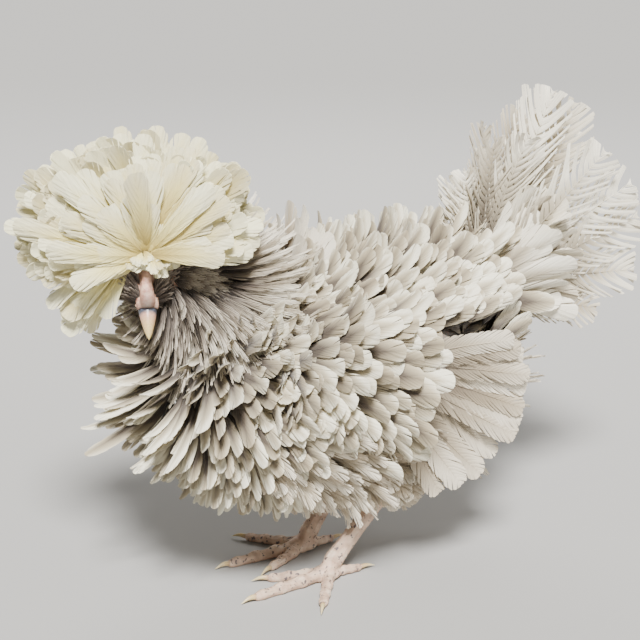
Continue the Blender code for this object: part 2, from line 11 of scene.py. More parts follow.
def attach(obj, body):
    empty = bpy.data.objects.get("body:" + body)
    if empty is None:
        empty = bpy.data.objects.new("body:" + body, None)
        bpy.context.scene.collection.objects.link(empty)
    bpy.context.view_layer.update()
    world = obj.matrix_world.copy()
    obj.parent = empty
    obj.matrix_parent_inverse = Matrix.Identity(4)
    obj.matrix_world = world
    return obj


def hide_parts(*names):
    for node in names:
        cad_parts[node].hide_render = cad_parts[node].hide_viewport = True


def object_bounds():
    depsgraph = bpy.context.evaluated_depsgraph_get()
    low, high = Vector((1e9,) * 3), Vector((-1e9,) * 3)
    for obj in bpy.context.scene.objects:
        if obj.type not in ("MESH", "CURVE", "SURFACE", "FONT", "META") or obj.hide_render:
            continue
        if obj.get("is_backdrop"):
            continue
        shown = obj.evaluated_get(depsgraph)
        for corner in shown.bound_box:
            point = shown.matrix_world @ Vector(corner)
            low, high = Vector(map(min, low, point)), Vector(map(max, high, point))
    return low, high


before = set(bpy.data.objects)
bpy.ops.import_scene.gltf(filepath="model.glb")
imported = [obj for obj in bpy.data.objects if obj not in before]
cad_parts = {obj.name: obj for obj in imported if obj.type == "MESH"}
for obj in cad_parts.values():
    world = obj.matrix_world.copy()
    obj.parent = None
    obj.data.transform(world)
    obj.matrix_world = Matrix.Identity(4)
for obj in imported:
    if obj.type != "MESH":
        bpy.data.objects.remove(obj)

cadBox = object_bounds()
planCentre = Vector((12.4, 0.0, 0.0))
upright = Vector((0, 0, 1))
tailward = Vector((1, 0, 0))

# The head is turned to the bird's left and tipped down.
headPose = {"centre": Vector((-124, 4, 210)), "turn": radians(66), "dip": radians(42)}
forward = Vector((-cos(headPose["turn"]), -sin(headPose["turn"]), 0))
beakward = forward * cos(headPose["dip"]) - upright * sin(headPose["dip"])
headLeft = Vector((sin(headPose["turn"]), -cos(headPose["turn"]), 0))
crownward = beakward.cross(headLeft)
eyePlace = {"radius": 4.6, "along": 2.0, "side": 11.8, "rise": 3.0}

# Skin of the torso: x, centre z, half width, height above and depth below the centre
torsoRows = ((-103.5, 134, 1, 1, 1), (-99, 134, 20, 20, 21), (-85, 134, 40, 36, 38),
             (-61, 134, 54, 47, 50), (-28, 133, 60, 51, 56), (9, 135, 60, 50, 57),
             (44, 139, 54, 44, 58), (74, 148, 40, 33, 46), (94, 155, 24, 21, 27),
             (102, 158, 12, 11, 12), (104.5, 159, 1, 1, 1))
# Skin of the neck: x, y, z, half width, height above and depth below the centre
neckRows = ((-40, 0, 143, 27, 25, 27), (-60, 0, 165, 25, 24, 25), (-80, 1, 186, 21, 20, 22),
            (-98, 3, 202, 17.5, 16, 19), (-113, 4, 209, 14.5, 13, 15))
# Flesh of each wing: x, distance from the middle plane, z, half height, half thickness
wingRows = ((-66, 50, 158, 9, 6), (-44, 63, 155, 24, 11), (-8, 69, 147, 31, 12), (28, 64, 143, 27, 10),
            (56, 55, 142, 12, 6))
tailRows = ((88, 154, 15, 13, 14), (112, 166, 15, 13, 13), (130, 180, 12, 11, 11), (137, 186, 7, 7, 7))
# Legs: the feet as they stand, hocks behind them, knees inside the flanks
legs = (
    ("left", -1, Vector((-17, -27, 0)), Vector((31, -29, 61)), Vector((-12, -36, 108))),
    ("right", 1, Vector((-8, 17, 0)), Vector((37, 24, 61)), Vector((-12, 36, 108))),
)
ankleRise = 9.0
toes = (("inner", -24, 41, 8.2), ("middle", 3, 58, 9.2), ("outer", 52, 44, 8.2), ("hind", 176, 23, 7.2))
clawLength = 11.0
thighRows = ((0.0, 19, 23), (0.4, 17, 20), (0.7, 13, 14), (0.9, 8.6, 9.2), (0.97, 7.0, 7.4))


def headPoint(along, side, rise):
    return headPose["centre"] + beakward * along + headLeft * side + crownward * rise


def toWorld(point):
    return (Vector(point) - planCentre) * 0.001


def fromHex(code):
    channels = [int(code[place:place + 2], 16) / 255 for place in (1, 3, 5)]
    linear = [c / 12.92 if c <= 0.04045 else ((c + 0.055) / 1.055) ** 2.4 for c in channels]
    return (*linear, 1.0)


def stationFrame(stations, index, upward):
    before = stations[max(index - 1, 0)][0]
    after = stations[min(index + 1, len(stations) - 1)][0]
    along = (after - before).normalized()
    side = along.cross(upward).normalized()
    return side, side.cross(along)


def ringPoint(stations, index, angle, upward=upright):
    centre, wide, above, below = stations[index]
    side, top = stationFrame(stations, index, upward)
    height = above if cos(angle) > 0 else below
    return centre + side * wide * sin(angle) + top * height * cos(angle)


def skinPoint(stations, position, angle, upward=upright):
    position = min(max(position, 0.0), len(stations) - 1.001)
    index = int(position)
    first = ringPoint(stations, index, angle, upward)
    return first.lerp(ringPoint(stations, index + 1, angle, upward), position - index)


def selectOnly(*objs):
    bpy.ops.object.select_all(action="DESELECT")
    for obj in objs:
        obj.select_set(True)
    bpy.context.view_layer.objects.active = objs[0]


def linked(name, data):
    obj = bpy.data.objects.new(name, data)
    bpy.context.scene.collection.objects.link(obj)
    return obj


# The turn that takes the three axes to these directions
def turnTo(*axes):
    return Matrix(axes).transposed().to_4x4()


def applied(obj, kind, **settings):
    selectOnly(obj)
    modifier = obj.modifiers.new(kind.lower(), kind)
    for key, value in settings.items():
        setattr(modifier, key, value)
    bpy.ops.object.modifier_apply(modifier=modifier.name)
    return obj


def smoothed(obj, levels):
    return applied(obj, "SUBSURF", levels=levels, render_levels=levels)


# A tube grown by extruding a ring from station to station
def ringTube(name, stations, sides, upward=upright):
    rings = []
    for index in range(len(stations)):
        turns = [2 * pi * corner / sides for corner in range(sides)]
        rings.append([toWorld(ringPoint(stations, index, turn, upward)) for turn in turns])
    bpy.ops.object.select_all(action="DESELECT")
    bpy.ops.mesh.primitive_circle_add(vertices=sides, radius=0.01, fill_type="NGON")
    tube = bpy.context.object
    tube.name = tube.data.name = name
    for vert, place in zip(tube.data.vertices, rings[0]):
        vert.co = place
    bpy.ops.object.mode_set(mode="EDIT")
    bpy.ops.mesh.select_all(action="SELECT")
    for before, after in zip(rings, rings[1:]):
        bpy.ops.mesh.extrude_region_move()
        cage = bmesh.from_edit_mesh(tube.data)
        for vert in [v for v in cage.verts if v.select]:
            nearest = min(range(sides), key=lambda k: (before[k] - vert.co).length_squared)
            vert.co = after[nearest]
        bmesh.update_edit_mesh(tube.data)
    bpy.ops.mesh.select_all(action="SELECT")
    bpy.ops.mesh.normals_make_consistent(inside=False)
    bpy.ops.object.mode_set(mode="OBJECT")
    return tube


# A ball squashed and turned into place, for a lobe, lid, pad or socket
def ball(name, centre, radii, axes=(beakward, headLeft, crownward), segments=24, rings=16):
    bpy.ops.object.select_all(action="DESELECT")
    bpy.ops.mesh.primitive_uv_sphere_add(segments=segments, ring_count=rings, radius=0.001)
    made = bpy.context.object
    made.name = made.data.name = name
    size = Matrix.Diagonal((*radii, 1.0))
    made.data.transform(Matrix.Translation(toWorld(centre)) @ turnTo(*axes) @ size)
    return made


def joined(name, *objs):
    selectOnly(*objs)
    bpy.ops.object.join()
    objs[0].name = objs[0].data.name = name
    return objs[0]


# One operator on the whole of a mesh, in edit mode
def edited(obj, operator, **settings):
    selectOnly(obj)
    bpy.ops.object.mode_set(mode="EDIT")
    bpy.ops.mesh.select_all(action="SELECT")
    operator(**settings)
    bpy.ops.object.mode_set(mode="OBJECT")


def combined(target, other, operation):
    applied(target, "BOOLEAN", object=other, operation=operation, solver="EXACT")
    bpy.data.objects.remove(other, do_unlink=True)
    return target


# A shader node. A setting is an input's value, a socket to link to it, or one of the node's own options.
def addNode(tree, kind, settings=None):
    node = tree.nodes.new("ShaderNode" + kind)
    for key, value in (settings or {}).items():
        if isinstance(value, bpy.types.NodeSocket):
            tree.links.new(value, node.inputs[key])
        elif isinstance(key, int) or key in node.inputs:
            node.inputs[key].default_value = value
        else:
            setattr(node, key, value)
    return node


def addRamp(tree, source, stops):
    ramp = addNode(tree, "ValToRGB", {"Fac": source})
    for index, (place, colour) in enumerate(stops):
        stop = ramp.color_ramp.elements[index] if index < 2 else ramp.color_ramp.elements.new(place)
        stop.position = place
        stop.color = fromHex(colour)
    return ramp.outputs["Color"]


def mixColours(tree, factor, first, second, blend="MIX"):
    settings = {"data_type": "RGBA", "blend_type": blend, 0: factor, 6: first, 7: second}
    return addNode(tree, "Mix", settings).outputs[2]


def computed(tree, operation, *inputs):
    return addNode(tree, "Math", {"operation": operation, **dict(enumerate(inputs))}).outputs[0]


def mapped(tree, value, span, ends=(0.0, 1.0), kind="LINEAR"):
    settings = dict(zip(("From Min", "From Max", "To Min", "To Max"), (*span, *ends)))
    return addNode(tree, "MapRange", {**settings, "interpolation_type": kind, "Value": value}).outputs[0]


def objectPlace(tree):
    return addNode(tree, "TexCoord").outputs["Object"]


def ownAttribute(tree, name):
    return addNode(tree, "Attribute", {"attribute_name": name}).outputs["Fac"]


def noiseAt(tree, place, scale, detail):
    return addNode(tree, "TexNoise", {"Scale": scale, "Detail": detail, "Vector": place}).outputs[0]


def distanceTo(tree, place, point):
    node = addNode(tree, "VectorMath", {"operation": "DISTANCE", 0: place, 1: toWorld(point)})
    return node.outputs["Value"]


# Colour and bump go into the shader
def wired(tree, shader, colour, height=None, strength=0.2, depth=0.0003):
    tree.links.new(colour, shader.inputs["Base Color"])
    if height is not None:
        bump = addNode(tree, "Bump", {"Strength": strength, "Distance": depth, "Height": height})
        tree.links.new(bump.outputs[0], shader.inputs["Normal"])


def newMaterial(name, **sockets):
    made = bpy.data.materials.new(name)
    made.use_nodes = True
    shader = made.node_tree.nodes["Principled BSDF"]
    for key, value in sockets.items():
        shader.inputs[key.replace("_", " ")].default_value = value
    return made, made.node_tree, shader


def finished(obj, material, slot, *nodes):
    obj.data.materials.clear()
    obj.data.materials.append(material)
    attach(obj, "root")
    if nodes:
        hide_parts(*nodes)
    return obj


# How dark the plumage is near the face: 1 at the beak, 0 beyond the ruff, in skin and coat alike
darkFace = {"centre": headPoint(12, 2, -8), "near": 0.026, "far": 0.078}


def addFaceShade(tree, near=darkFace["near"], far=darkFace["far"]):
    place = objectPlace(tree)
    blotch = noiseAt(tree, place, 70.0, 3.0)
    wander = computed(tree, "MULTIPLY_ADD", blotch, 0.024, distanceTo(tree, place, darkFace["centre"]))
    return mapped(tree, wander, (near, far), (1.0, 0.0), "SMOOTHSTEP")


print("stage: skin")
torsoStations = [(Vector((x, 0, z)), wide, above, below) for x, z, wide, above, below in torsoRows]
neckStations = [(Vector((x, y, z)), wide, above, below) for x, y, z, wide, above, below in neckRows]
tailStations = [(Vector((x, 0, z)), wide, above, below) for x, z, wide, above, below in tailRows]


def wingStations(side):
    return [(Vector((x, out * side, z)), thick, high, high) for x, out, z, high, thick in wingRows]


def thighStations(hock, knee):
    return [(knee + (hock - knee) * share, wide, deep, deep) for share, wide, deep in thighRows]


headLook = {
    "skull": ((-23.5, 1, 1, 1), (-21, 9, 9, 9), (-12, 13.8, 14.6, 12.8), (0, 14.6, 15.4, 13.4),
              (7, 13.4, 14.4, 12.6), (12, 11.4, 12.4, 11.4), (17, 8.6, 9.6, 9.2), (20.6, 7.0, 7.8, 7.4),
              (22.6, 5.0, 5.6, 5.2)),
    "hood": ((6, 1.0, 13.4), (10, 2.5, 13.4), (15, 3.1, 11.4), (20, 3.9, 9.0), (24.5, 4.5, 7.0),
             (28.5, 3.6, 4.9)),
    "balls": (  # place and radii, on both sides
        ("brow", (3.5, 10.6, 7.6), (7.2, 3.0, 2.6)), ("cheek", (5.5, 9.6, -4.6), (8.0, 3.6, 4.6)),
        ("ear_lobe", (-8.6, 13.2, -4.4), (3.9, 2.1, 5.0)), ("ear_fold", (-8.6, 13.9, 0.6), (3.2, 1.3, 1.6)),
        ("gape", (19.0, 5.6, -3.4), (4.6, 1.7, 1.5)), ("wattle", (13.8, 5.2, -11.2), (3.5, 2.0, 4.8)),
        ("nostril_flap", (25.4, 5.3, 3.4), (3.6, 1.3, 2.1)),
    ),
    "lids": ((4.35, 0.72, 2.15), (6.0, 0.55, 0.9)),  # radius, thickness, how far out
    "lidTilt": 0.30, "socketGap": 0.12, "voxel": 0.00062,
}
skullStations = [(headPoint(along, 0, 0), *radii) for along, *radii in headLook["skull"]]


def buildHead():
    head = ringTube("head_skin", skullStations, 24, crownward)
    hood = [(headPoint(along, 0, rise), wide, wide * 0.9, wide) for along, wide, rise in headLook["hood"]]
    parts = [ringTube("hood", hood, 14, crownward)]
    for side in (-1, 1):
        for name, (along, out, rise), radii in headLook["balls"]:
            parts.append(ball(name, headPoint(along, out * side, rise), radii))
    head = joined("head_skin", head, *parts)
    applied(head, "REMESH", mode="VOXEL", voxel_size=headLook["voxel"])
    applied(head, "SMOOTH", factor=0.6, iterations=5)
    for side in (-1, 1):
        radii = (eyePlace["radius"] + headLook["socketGap"],) * 3
        combined(head, ball("socket", eyeCentre(side), radii, segments=32, rings=24), "DIFFERENCE")
    for side in (-1, 1):
        head = joined("head_skin", head, *buildLids(side))
    applied(head, "REMESH", mode="VOXEL", voxel_size=headLook["voxel"])
    applied(head, "SMOOTH", factor=0.5, iterations=3)
    return head


def eyeCentre(side):
    return headPoint(eyePlace["along"], eyePlace["side"] * side, eyePlace["rise"])


def gazeOf(side):
    return (headLeft * side * 0.94 + beakward * headLook["lidTilt"] + crownward * 0.12).normalized()


# Two lids round each eye: an almond of two rings, the outer one fainter, as a fold
def buildLids(side):
    gaze = gazeOf(side)
    across = (beakward - gaze * beakward.dot(gaze)).normalized()
    rise = gaze.cross(across)
    rings = []
    for radius, thick, out in headLook["lids"]:
        bpy.ops.object.select_all(action="DESELECT")
        bpy.ops.mesh.primitive_torus_add(
            major_radius=radius * 0.001, minor_radius=thick * 0.001, major_segments=48, minor_segments=10
        )
        ring = bpy.context.object
        almond = Matrix.Diagonal((1.08, 0.86, 1.0, 1.0))
        place = Matrix.Translation(toWorld(eyeCentre(side) + gaze * out))
        ring.data.transform(place @ turnTo(across, rise, gaze) @ almond)
        rings.append(ring)
    return rings


def buildSkin():
    flesh = [ringTube("torso_skin", torsoStations, 32), ringTube("neck_skin", neckStations, 24)]
    flesh.append(ringTube("tail_skin", tailStations, 20))
    for name, side, foot, hock, knee in legs:
        flesh.append(ringTube("wing_skin", wingStations(side), 20))
        flesh.append(ringTube("thigh_skin", thighStations(hock, knee), 20, tailward))
    skin = joined("skin", *flesh)
    applied(skin, "REMESH", mode="VOXEL", voxel_size=0.0028)
    applied(skin, "SMOOTH", factor=0.6, iterations=8)
    skin = combined(skin, buildHead(), "UNION")
    edited(skin, bpy.ops.uv.smart_project, angle_limit=radians(70), island_margin=0.004)
    skin.data.uv_layers[0].name = "OFBake"
    bpy.ops.object.shade_smooth()
    return skin


skin = buildSkin()
print("skin", len(skin.data.polygons), "faces")


def surfaceTree(mesh):
    faces = [tuple(face.vertices) for face in mesh.polygons]
    return BVHTree.FromPolygons([vert.co.copy() for vert in mesh.vertices], faces)


class SkinMap:
    def __init__(self, skin):
        self.mesh = skin.data
        self.tree = surfaceTree(self.mesh)
        self.uvs = self.mesh.uv_layers["OFBake"].data

    # The skin nearest to a point in millimetres: place, way out, place on the unwrap, how far off it was
    def under(self, point):
        spot, normal, index, apart = self.tree.find_nearest(toWorld(point))
        face = self.mesh.polygons[index]
        loops = list(face.loop_indices)
        weights = [1 / ((self.mesh.vertices[v].co - spot).length + 1e-5) for v in face.vertices]
        uv = sum((self.uvs[loop].uv * w for loop, w in zip(loops, weights)), Vector((0, 0))) / sum(weights)
        return spot * 1000 + planCentre, normal, (uv.x, uv.y), apart * 1000


skinMap = SkinMap(skin)

print("stage: feathers")
# Feather shapes: barbs to a side, share of the width at the root, where the vane reaches its full width,
# the barb whose end starts the rounded tip and where on the length that is, power of the rounding, forward
# sweep of the barbs, raggedness, how much each barb covers of its share, splits, droop of the edges,
# thickness of the shaft, curl and taper of the barbs, and the rings of corners on a barb
featherColumns = ("barbs", "root", "full", "turn", "close", "round", "sweep", "ragged", "cover", "splits",
                  "cup", "shaft", "curl", "taper", "rings")
plainBarb = (0, 0.6, 1)
featherTable = {
    "crest": (10, 0.35, 0.60, 0.55, 0.83, 0.62, 0.24, 0.22, 1.3, 5, 0.20, 0.24, 0.45, 0.1, plainBarb),
    "broad": (9, 0.45, 0.45, 0.47, 0.77, 0.72, 0.24, 0.15, 1.25, 3, 0.34, 0.30, 0.2, 0.1, plainBarb),
    "lance": (9, 0.5, 0.40, 0.48, 0.74, 0.75, 0.22, 0.10, 1.3, 2, 0.30, 0.30, 0.3, 0.15, plainBarb),
    "hackle": (7, 0.8, 0.2, 0.38, 0.44, 1.1, 0.34, 0.32, 0.8, 4, 0.3, 0.26, 0.6, 0.4, plainBarb),
    "bristle": (5, 0.7, 0.35, 0.38, 0.44, 1.1, 0.34, 0.25, 0.8, 2, 0.2, 0.20, 0.4, 0.4, plainBarb),
    "fluff": (8, 0.6, 0.4, 0.5, 0.66, 0.8, 0.28, 0.28, 0.95, 3, 0.2, 0.22, 0.6, 0.3, plainBarb),
    "flight": (26, 0.6, 0.35, 0.82, 0.90, 0.6, 0.14, 0.12, 1.1, 9, 0.12, 0.65, 0.7, 0.2, (0, 0.35, 0.7, 1)),
    "ribbon": (20, 0.6, 0.30, 0.84, 0.86, 0.45, 0.30, 0.30, 0.80, 8, 0.06, 0.8, 4.0, 0.40,
               (0, 0.3, 0.6, 0.85, 1)),
}
featherKinds = {name: dict(zip(featherColumns, row)) for name, row in featherTable.items()}
patchSize = 0.003  # of one feather on the unwrap


# The edge of a vane as (share of the length, share of the half width): along the side, then round the end
def vaneEdge(kind, reach):
    rise = kind["root"] + (1 - kind["root"]) * min(max(reach, 0.0) / kind["full"], 1.0) ** 0.8
    if reach <= kind["turn"]:
        return kind["close"] * reach / kind["turn"], rise
    angle = min((reach - kind["turn"]) / (1.02 - kind["turn"]), 0.99) * pi / 2
    return kind["close"] + (1 - kind["close"]) * sin(angle), rise * cos(angle) ** kind["round"]


# Corners of one feather as (share of the length, share of the half width, height, barb) and its faces
def featherPlan(kind, seed):
    chance = np.random.default_rng(seed)
    corners, faces = [], []
    count = kind["barbs"]
    gap = 0.94 / count
    for side in (-1, 1):
        splits = set(chance.choice(np.arange(2, count), min(kind["splits"], count - 2), replace=False))
        for item in range(count):
            start = 0.05 + gap * (item + 0.5)
            reach = start + kind["sweep"] * sqrt(max(1.03 - start, 0.01))
            reach += chance.uniform(-0.1, 0.1) * gap
            reach += 0.28 * gap * ((item in splits) - (item + 1 in splits))
            full = 1 - kind["ragged"] * chance.uniform(0, 1) ** 1.5
            half = gap * 0.5 * kind["cover"]
            tilt = chance.uniform(-1, 1) * kind["curl"]
            first = len(corners)
            for step in kind["rings"]:
                size = half * (1 - kind["taper"] * step)
                for move, height, blunt in ((-size, -0.10, 0.0), (size, 0.02, 0.0), (0.0, 0.16, 0.03)):
                    end, wide = vaneEdge(kind, reach + move)
                    along = start + move + (end - start - move) * step ** 1.25
                    out = full * wide * step ** 0.9 * side * (1 + blunt * step)
                    line = start + copysign(half, move) * (move != 0)
                    corners.append((along, out, tilt * step ** 2 + height, line))
            order = (0, 1, 2) if side > 0 else (0, 2, 1)
            last = len(kind["rings"]) - 1
            faces.append(tuple(first + k for k in order[::-1]))
            for ring in range(last):
                low = first + ring * 3
                for k in range(3):
                    a, b = order[k], order[(k + 1) % 3]
                    faces.append((low + a, low + b, low + 3 + b, low + 3 + a))
            faces.append(tuple(first + last * 3 + k for k in order))
    first = len(corners)
    stations = (0.0, 0.3, 0.6, 0.85)
    for step in stations:
        thick = kind["shaft"] * (1 - 0.8 * step)
        for out in (-2.0, 2.0, 0.0):
            corners.append((step, out, thick, 0.0))
    corners.append((0.985, 0.0, 0.05, 0.0))
    for ring in range(len(stations) - 1):
        low = first + ring * 3
        for a, b in ((0, 1), (1, 2), (2, 0)):
            faces.append((low + a, low + b, low + 3 + b, low + 3 + a))
    low = first + (len(stations) - 1) * 3
    for a, b in ((0, 1), (1, 2), (2, 0)):
        faces.append((low + a, low + b, low + 3))
    faces.append((first, first + 2, first + 1))
    return np.array(corners), faces, first


# Turns lists of feathers into one mesh, with five plans of each kind. A feather is a dictionary: root, lie,
# out, uv, length, width, liftRoot, liftTip, bend, twist and tone.
def growCoat(name, groups, material, replaced=()):
    batches = []
    offset = 0
    for kindName, feathers in groups:
        kind = featherKinds[kindName]
        for number in range(5):
            batch = feathers[number::5]
            if not batch:
                continue
            corners, faces, shaftStart = featherPlan(kind, number + 1)
            points, share = bendFeathers(kind, corners, shaftStart, batch)
            points = keepInside(points, batch)
            count, each = points.shape[:2]
            lengths, tones = [np.array([made[key] for made in batch]) for key in ("length", "tone")]
            roots = np.array([made["uv"] for made in batch])
            signed = np.clip(corners[:, 1], -1, 1)
            signed[shaftStart:] = 0
            local = np.stack([signed * 0.5, share - 0.5], axis=1) * patchSize
            flat = np.concatenate([np.array(face) for face in faces])
            firsts = np.arange(count) * each + offset
            batches.append({
                "place": points.reshape(-1, 3),
                "loop": (flat[None, :] + firsts[:, None]).ravel(),
                "size": np.tile([len(face) for face in faces], count),
                "uv": (roots[:, None, :] + local[None, :, :]).reshape(-1, 2),
                "along": np.tile(share, count),
                "across": np.tile(np.abs(signed), count),
                "tone": np.repeat(tones, each),
                "barb": (lengths[:, None] * corners[None, :, 3]).ravel(),
            })
            offset += count * each
    whole = {key: np.concatenate([batch[key] for batch in batches]) for key in batches[0]}
    points = (whole["place"] - np.array(planCentre)) * 0.001
    loop, size = whole["loop"], whole["size"]
    mesh = bpy.data.meshes.new(name)
    mesh.vertices.add(len(points))
    mesh.vertices.foreach_set("co", points.astype(np.float32).ravel())
    mesh.loops.add(len(loop))
    mesh.loops.foreach_set("vertex_index", loop.astype(np.int32))
    mesh.polygons.add(len(size))
    mesh.polygons.foreach_set("loop_start", (np.cumsum(size) - size).astype(np.int32))
    mesh.update(calc_edges=True)
    mesh.validate()
    for key in ("along", "across", "tone", "barb"):
        layer = mesh.attributes.new(key, "FLOAT", "POINT")
        layer.data.foreach_set("value", whole[key].astype(np.float32))
    layer = mesh.uv_layers.new(name="OFBake")
    layer.data.foreach_set("uv", whole["uv"][loop].astype(np.float32).ravel())
    coat = linked(name, mesh)
    mesh.shade_flat()
    print(name, sum(len(f) for _, f in groups), "feathers", int((size - 2).sum()), "triangles")
    return finished(coat, material, "feathers", *replaced)


rootDepth = 4.0  # each shaft starts this far under the skin


def bendFeathers(kind, corners, shaftStart, batch):
    pick = lambda key: np.array([made[key] for made in batch], float)
    spread = lambda key: pick(key)[:, None, None]
    root, lie, out = pick("root"), pick("lie"), pick("out")
    out /= np.linalg.norm(out, axis=1)[:, None]
    lie -= out * np.sum(lie * out, axis=1)[:, None]
    lie /= np.linalg.norm(lie, axis=1)[:, None]
    side = np.cross(lie, out)
    samples = 14
    share = np.linspace(0, 1, samples)[None, :, None]
    lift = np.radians(spread("liftRoot")) * (1 - share) + np.radians(spread("liftTip")) * share
    yaw = spread("bend") * share
    length = spread("length")
    flat = np.cos(yaw) * lie[:, None] + np.sin(yaw) * side[:, None]
    heading = np.cos(lift) * flat + np.sin(lift) * out[:, None]
    beside = np.cos(yaw) * side[:, None] - np.sin(yaw) * lie[:, None]
    face = np.cross(beside, heading)
    twist = spread("twist") * share
    wide = beside * np.cos(twist) + face * np.sin(twist)
    face = face * np.cos(twist) - beside * np.sin(twist)
    middle = (heading[:, 1:] + heading[:, :-1]) / 2
    start = np.zeros((len(batch), 1, 3))
    spine = np.concatenate([start, np.cumsum(middle, axis=1)], axis=1) / (samples - 1)
    spine = spine * length + root[:, None] - heading[:, :1] * rootDepth
    s, a, z, _ = corners.T
    inside = np.clip(s, 0, 1) * (samples - 1)
    low = np.minimum(inside.astype(int), samples - 2)
    part = (inside - low)[None, :, None]
    take = lambda field: field[:, low] * (1 - part) + field[:, low + 1] * part
    beyond = (s - np.clip(s, 0, 1))[None, :, None] * length
    place = take(spine) + take(heading) * beyond
    half = pick("width")[:, None] / 2
    isShaft = np.arange(len(s)) >= shaftStart
    across = np.where(isShaft[None, :], np.sign(a)[None, :] * z[None, :] * 0.9, a[None, :] * half)
    height = np.where(isShaft, np.where(a == 0, z * 1.2, -0.1), z)
    height = height[None, :] - np.where(isShaft, 0, kind["cup"] * a ** 2)[None, :] * half
    points = place + take(wide) * across[:, :, None] + take(face) * height[:, :, None]
    return points, np.clip(s, 0, 1)


# Feathers stay inside the bird's own size and off the floor: one that would not is drawn towards its root
margin = {"sides": 0.4, "floor": 6.0, "least": 0.25}


def keepInside(points, batch):
    low = np.array(cadBox[0]) * 1000 + np.array(planCentre) + margin["sides"]
    high = np.array(cadBox[1]) * 1000 + np.array(planCentre) - margin["sides"]
    low[2] = margin["floor"]
    roots = np.array([feather["root"] for feather in batch])[:, None, :]
    move = points - roots
    with np.errstate(divide="ignore", invalid="ignore"):
        over = np.where(points > high, (high - roots) / move, 1.0)
        under = np.where(points < low, (low - roots) / move, 1.0)
    share = np.clip(np.minimum(over, under).min(axis=(1, 2)), margin["least"], 1.0)
    return roots + move * share[:, None, None]


# The spot of a feather that grows from a place and direction of its own
def freeSpot(root, out):
    return root, out, skinMap.under(root)[2], 0.0


# One feather: where it grows, its lie, and its shape as length, width, lift at the root and at the tip
def feather(point, lie, shape, chance, reach=7.0, spot=None, rise=0.0):
    place, out, uv, apart = spot or skinMap.under(point)
    if apart > reach:
        return None
    place = Vector(place) + Vector(out) * rise
    length, width, liftRoot, liftTip = shape
    return {
        "root": tuple(place), "lie": tuple(lie), "out": tuple(out), "uv": uv,
        "length": length * chance.uniform(0.88, 1.1), "width": width * chance.uniform(0.88, 1.12),
        "liftRoot": liftRoot + chance.uniform(-6, 6), "liftTip": liftTip + chance.uniform(-12, 12),
        "bend": chance.uniform(-0.24, 0.24), "twist": chance.uniform(-0.3, 0.3),
        "tone": chance.uniform(0, 1),
    }


# Staggered rings of feathers over a lofted skin. A row of a table: place, length above, length below,
# width, lift at the root, lift at the tip
def plantRings(stations, table, look, direction=1, upward=upright, keep=None):
    chance = np.random.default_rng(look["seed"])
    table = np.array(table, float)
    grown = []
    position, number = look["first"], 0
    while position <= look["last"]:
        row = [np.interp(position, table[:, 0], table[:, column]) for column in range(1, 6)]
        above, below, width, liftRoot, liftTip = row
        ring = [skinPoint(stations, position, radians(angle), upward) for angle in range(0, 360, 15)]
        before, after = [skinPoint(stations, position + move, 1.57, upward) for move in (-0.5, 0.5)]
        stride = look.get("step") or look["pitch"] / max((after - before).length, 4)
        round_ = sum((b - a).length for a, b in zip(ring, ring[1:] + ring[:1]))
        count = max(5, int(round_ / (width * look["spacing"])))
        for item in range(count):
            angle = radians((item + number % 2 / 2 + chance.uniform(-0.22, 0.22)) * 360 / count)
            here = position + chance.uniform(-0.3, 0.3) * stride
            point = skinPoint(stations, here, angle, upward)
            onward = skinPoint(stations, here + 0.03, angle, upward)
            behind = skinPoint(stations, here - 0.03, angle, upward)
            lowness = (1 - cos(angle)) / 2
            more = look.get("droop", 0) * lowness
            calm = 1 - look.get("calm", 0) * sin(angle) ** 2 * min(max(position - 0.5, 0), 1)
            more += look.get("ruffle", 0) * chance.uniform(-0.3, 1) * max(cos(angle), 0)
            length = above + (below - above) * lowness
            shape = (length, width, (liftRoot + more) * calm, (liftTip + more) * calm)
            way = (onward - behind).normalized() * direction
            if "throat" in look:  # on the breast they radiate down and out from the throat
                share = min(max((look["fanEnd"] - here) / 2.4, 0.0), 1.0)
                way = (point - look["throat"]).normalized() * share + way * (1 - share)
            rise = look.get("rise", 0.0) * chance.uniform(0.6, 1.3)
            made = feather(point, way, shape, chance, look.get("reach", 5.0), rise=rise)
            if made and (keep is None or keep(made, here)):
                grown.append(made)
        position += stride
        number += 1
    return grown


# A patch of feathers round a point of the skin, for the places that the rings leave thin
def plantPatch(centre, spread, count, lie, shape, seed):
    chance = np.random.default_rng(seed)
    grown = []
    for _ in range(count):
        point = Vector(centre) + Vector(chance.uniform(-1, 1, 3)) * spread
        grown.append(feather(point, lie, shape, chance, 40.0))
    return grown


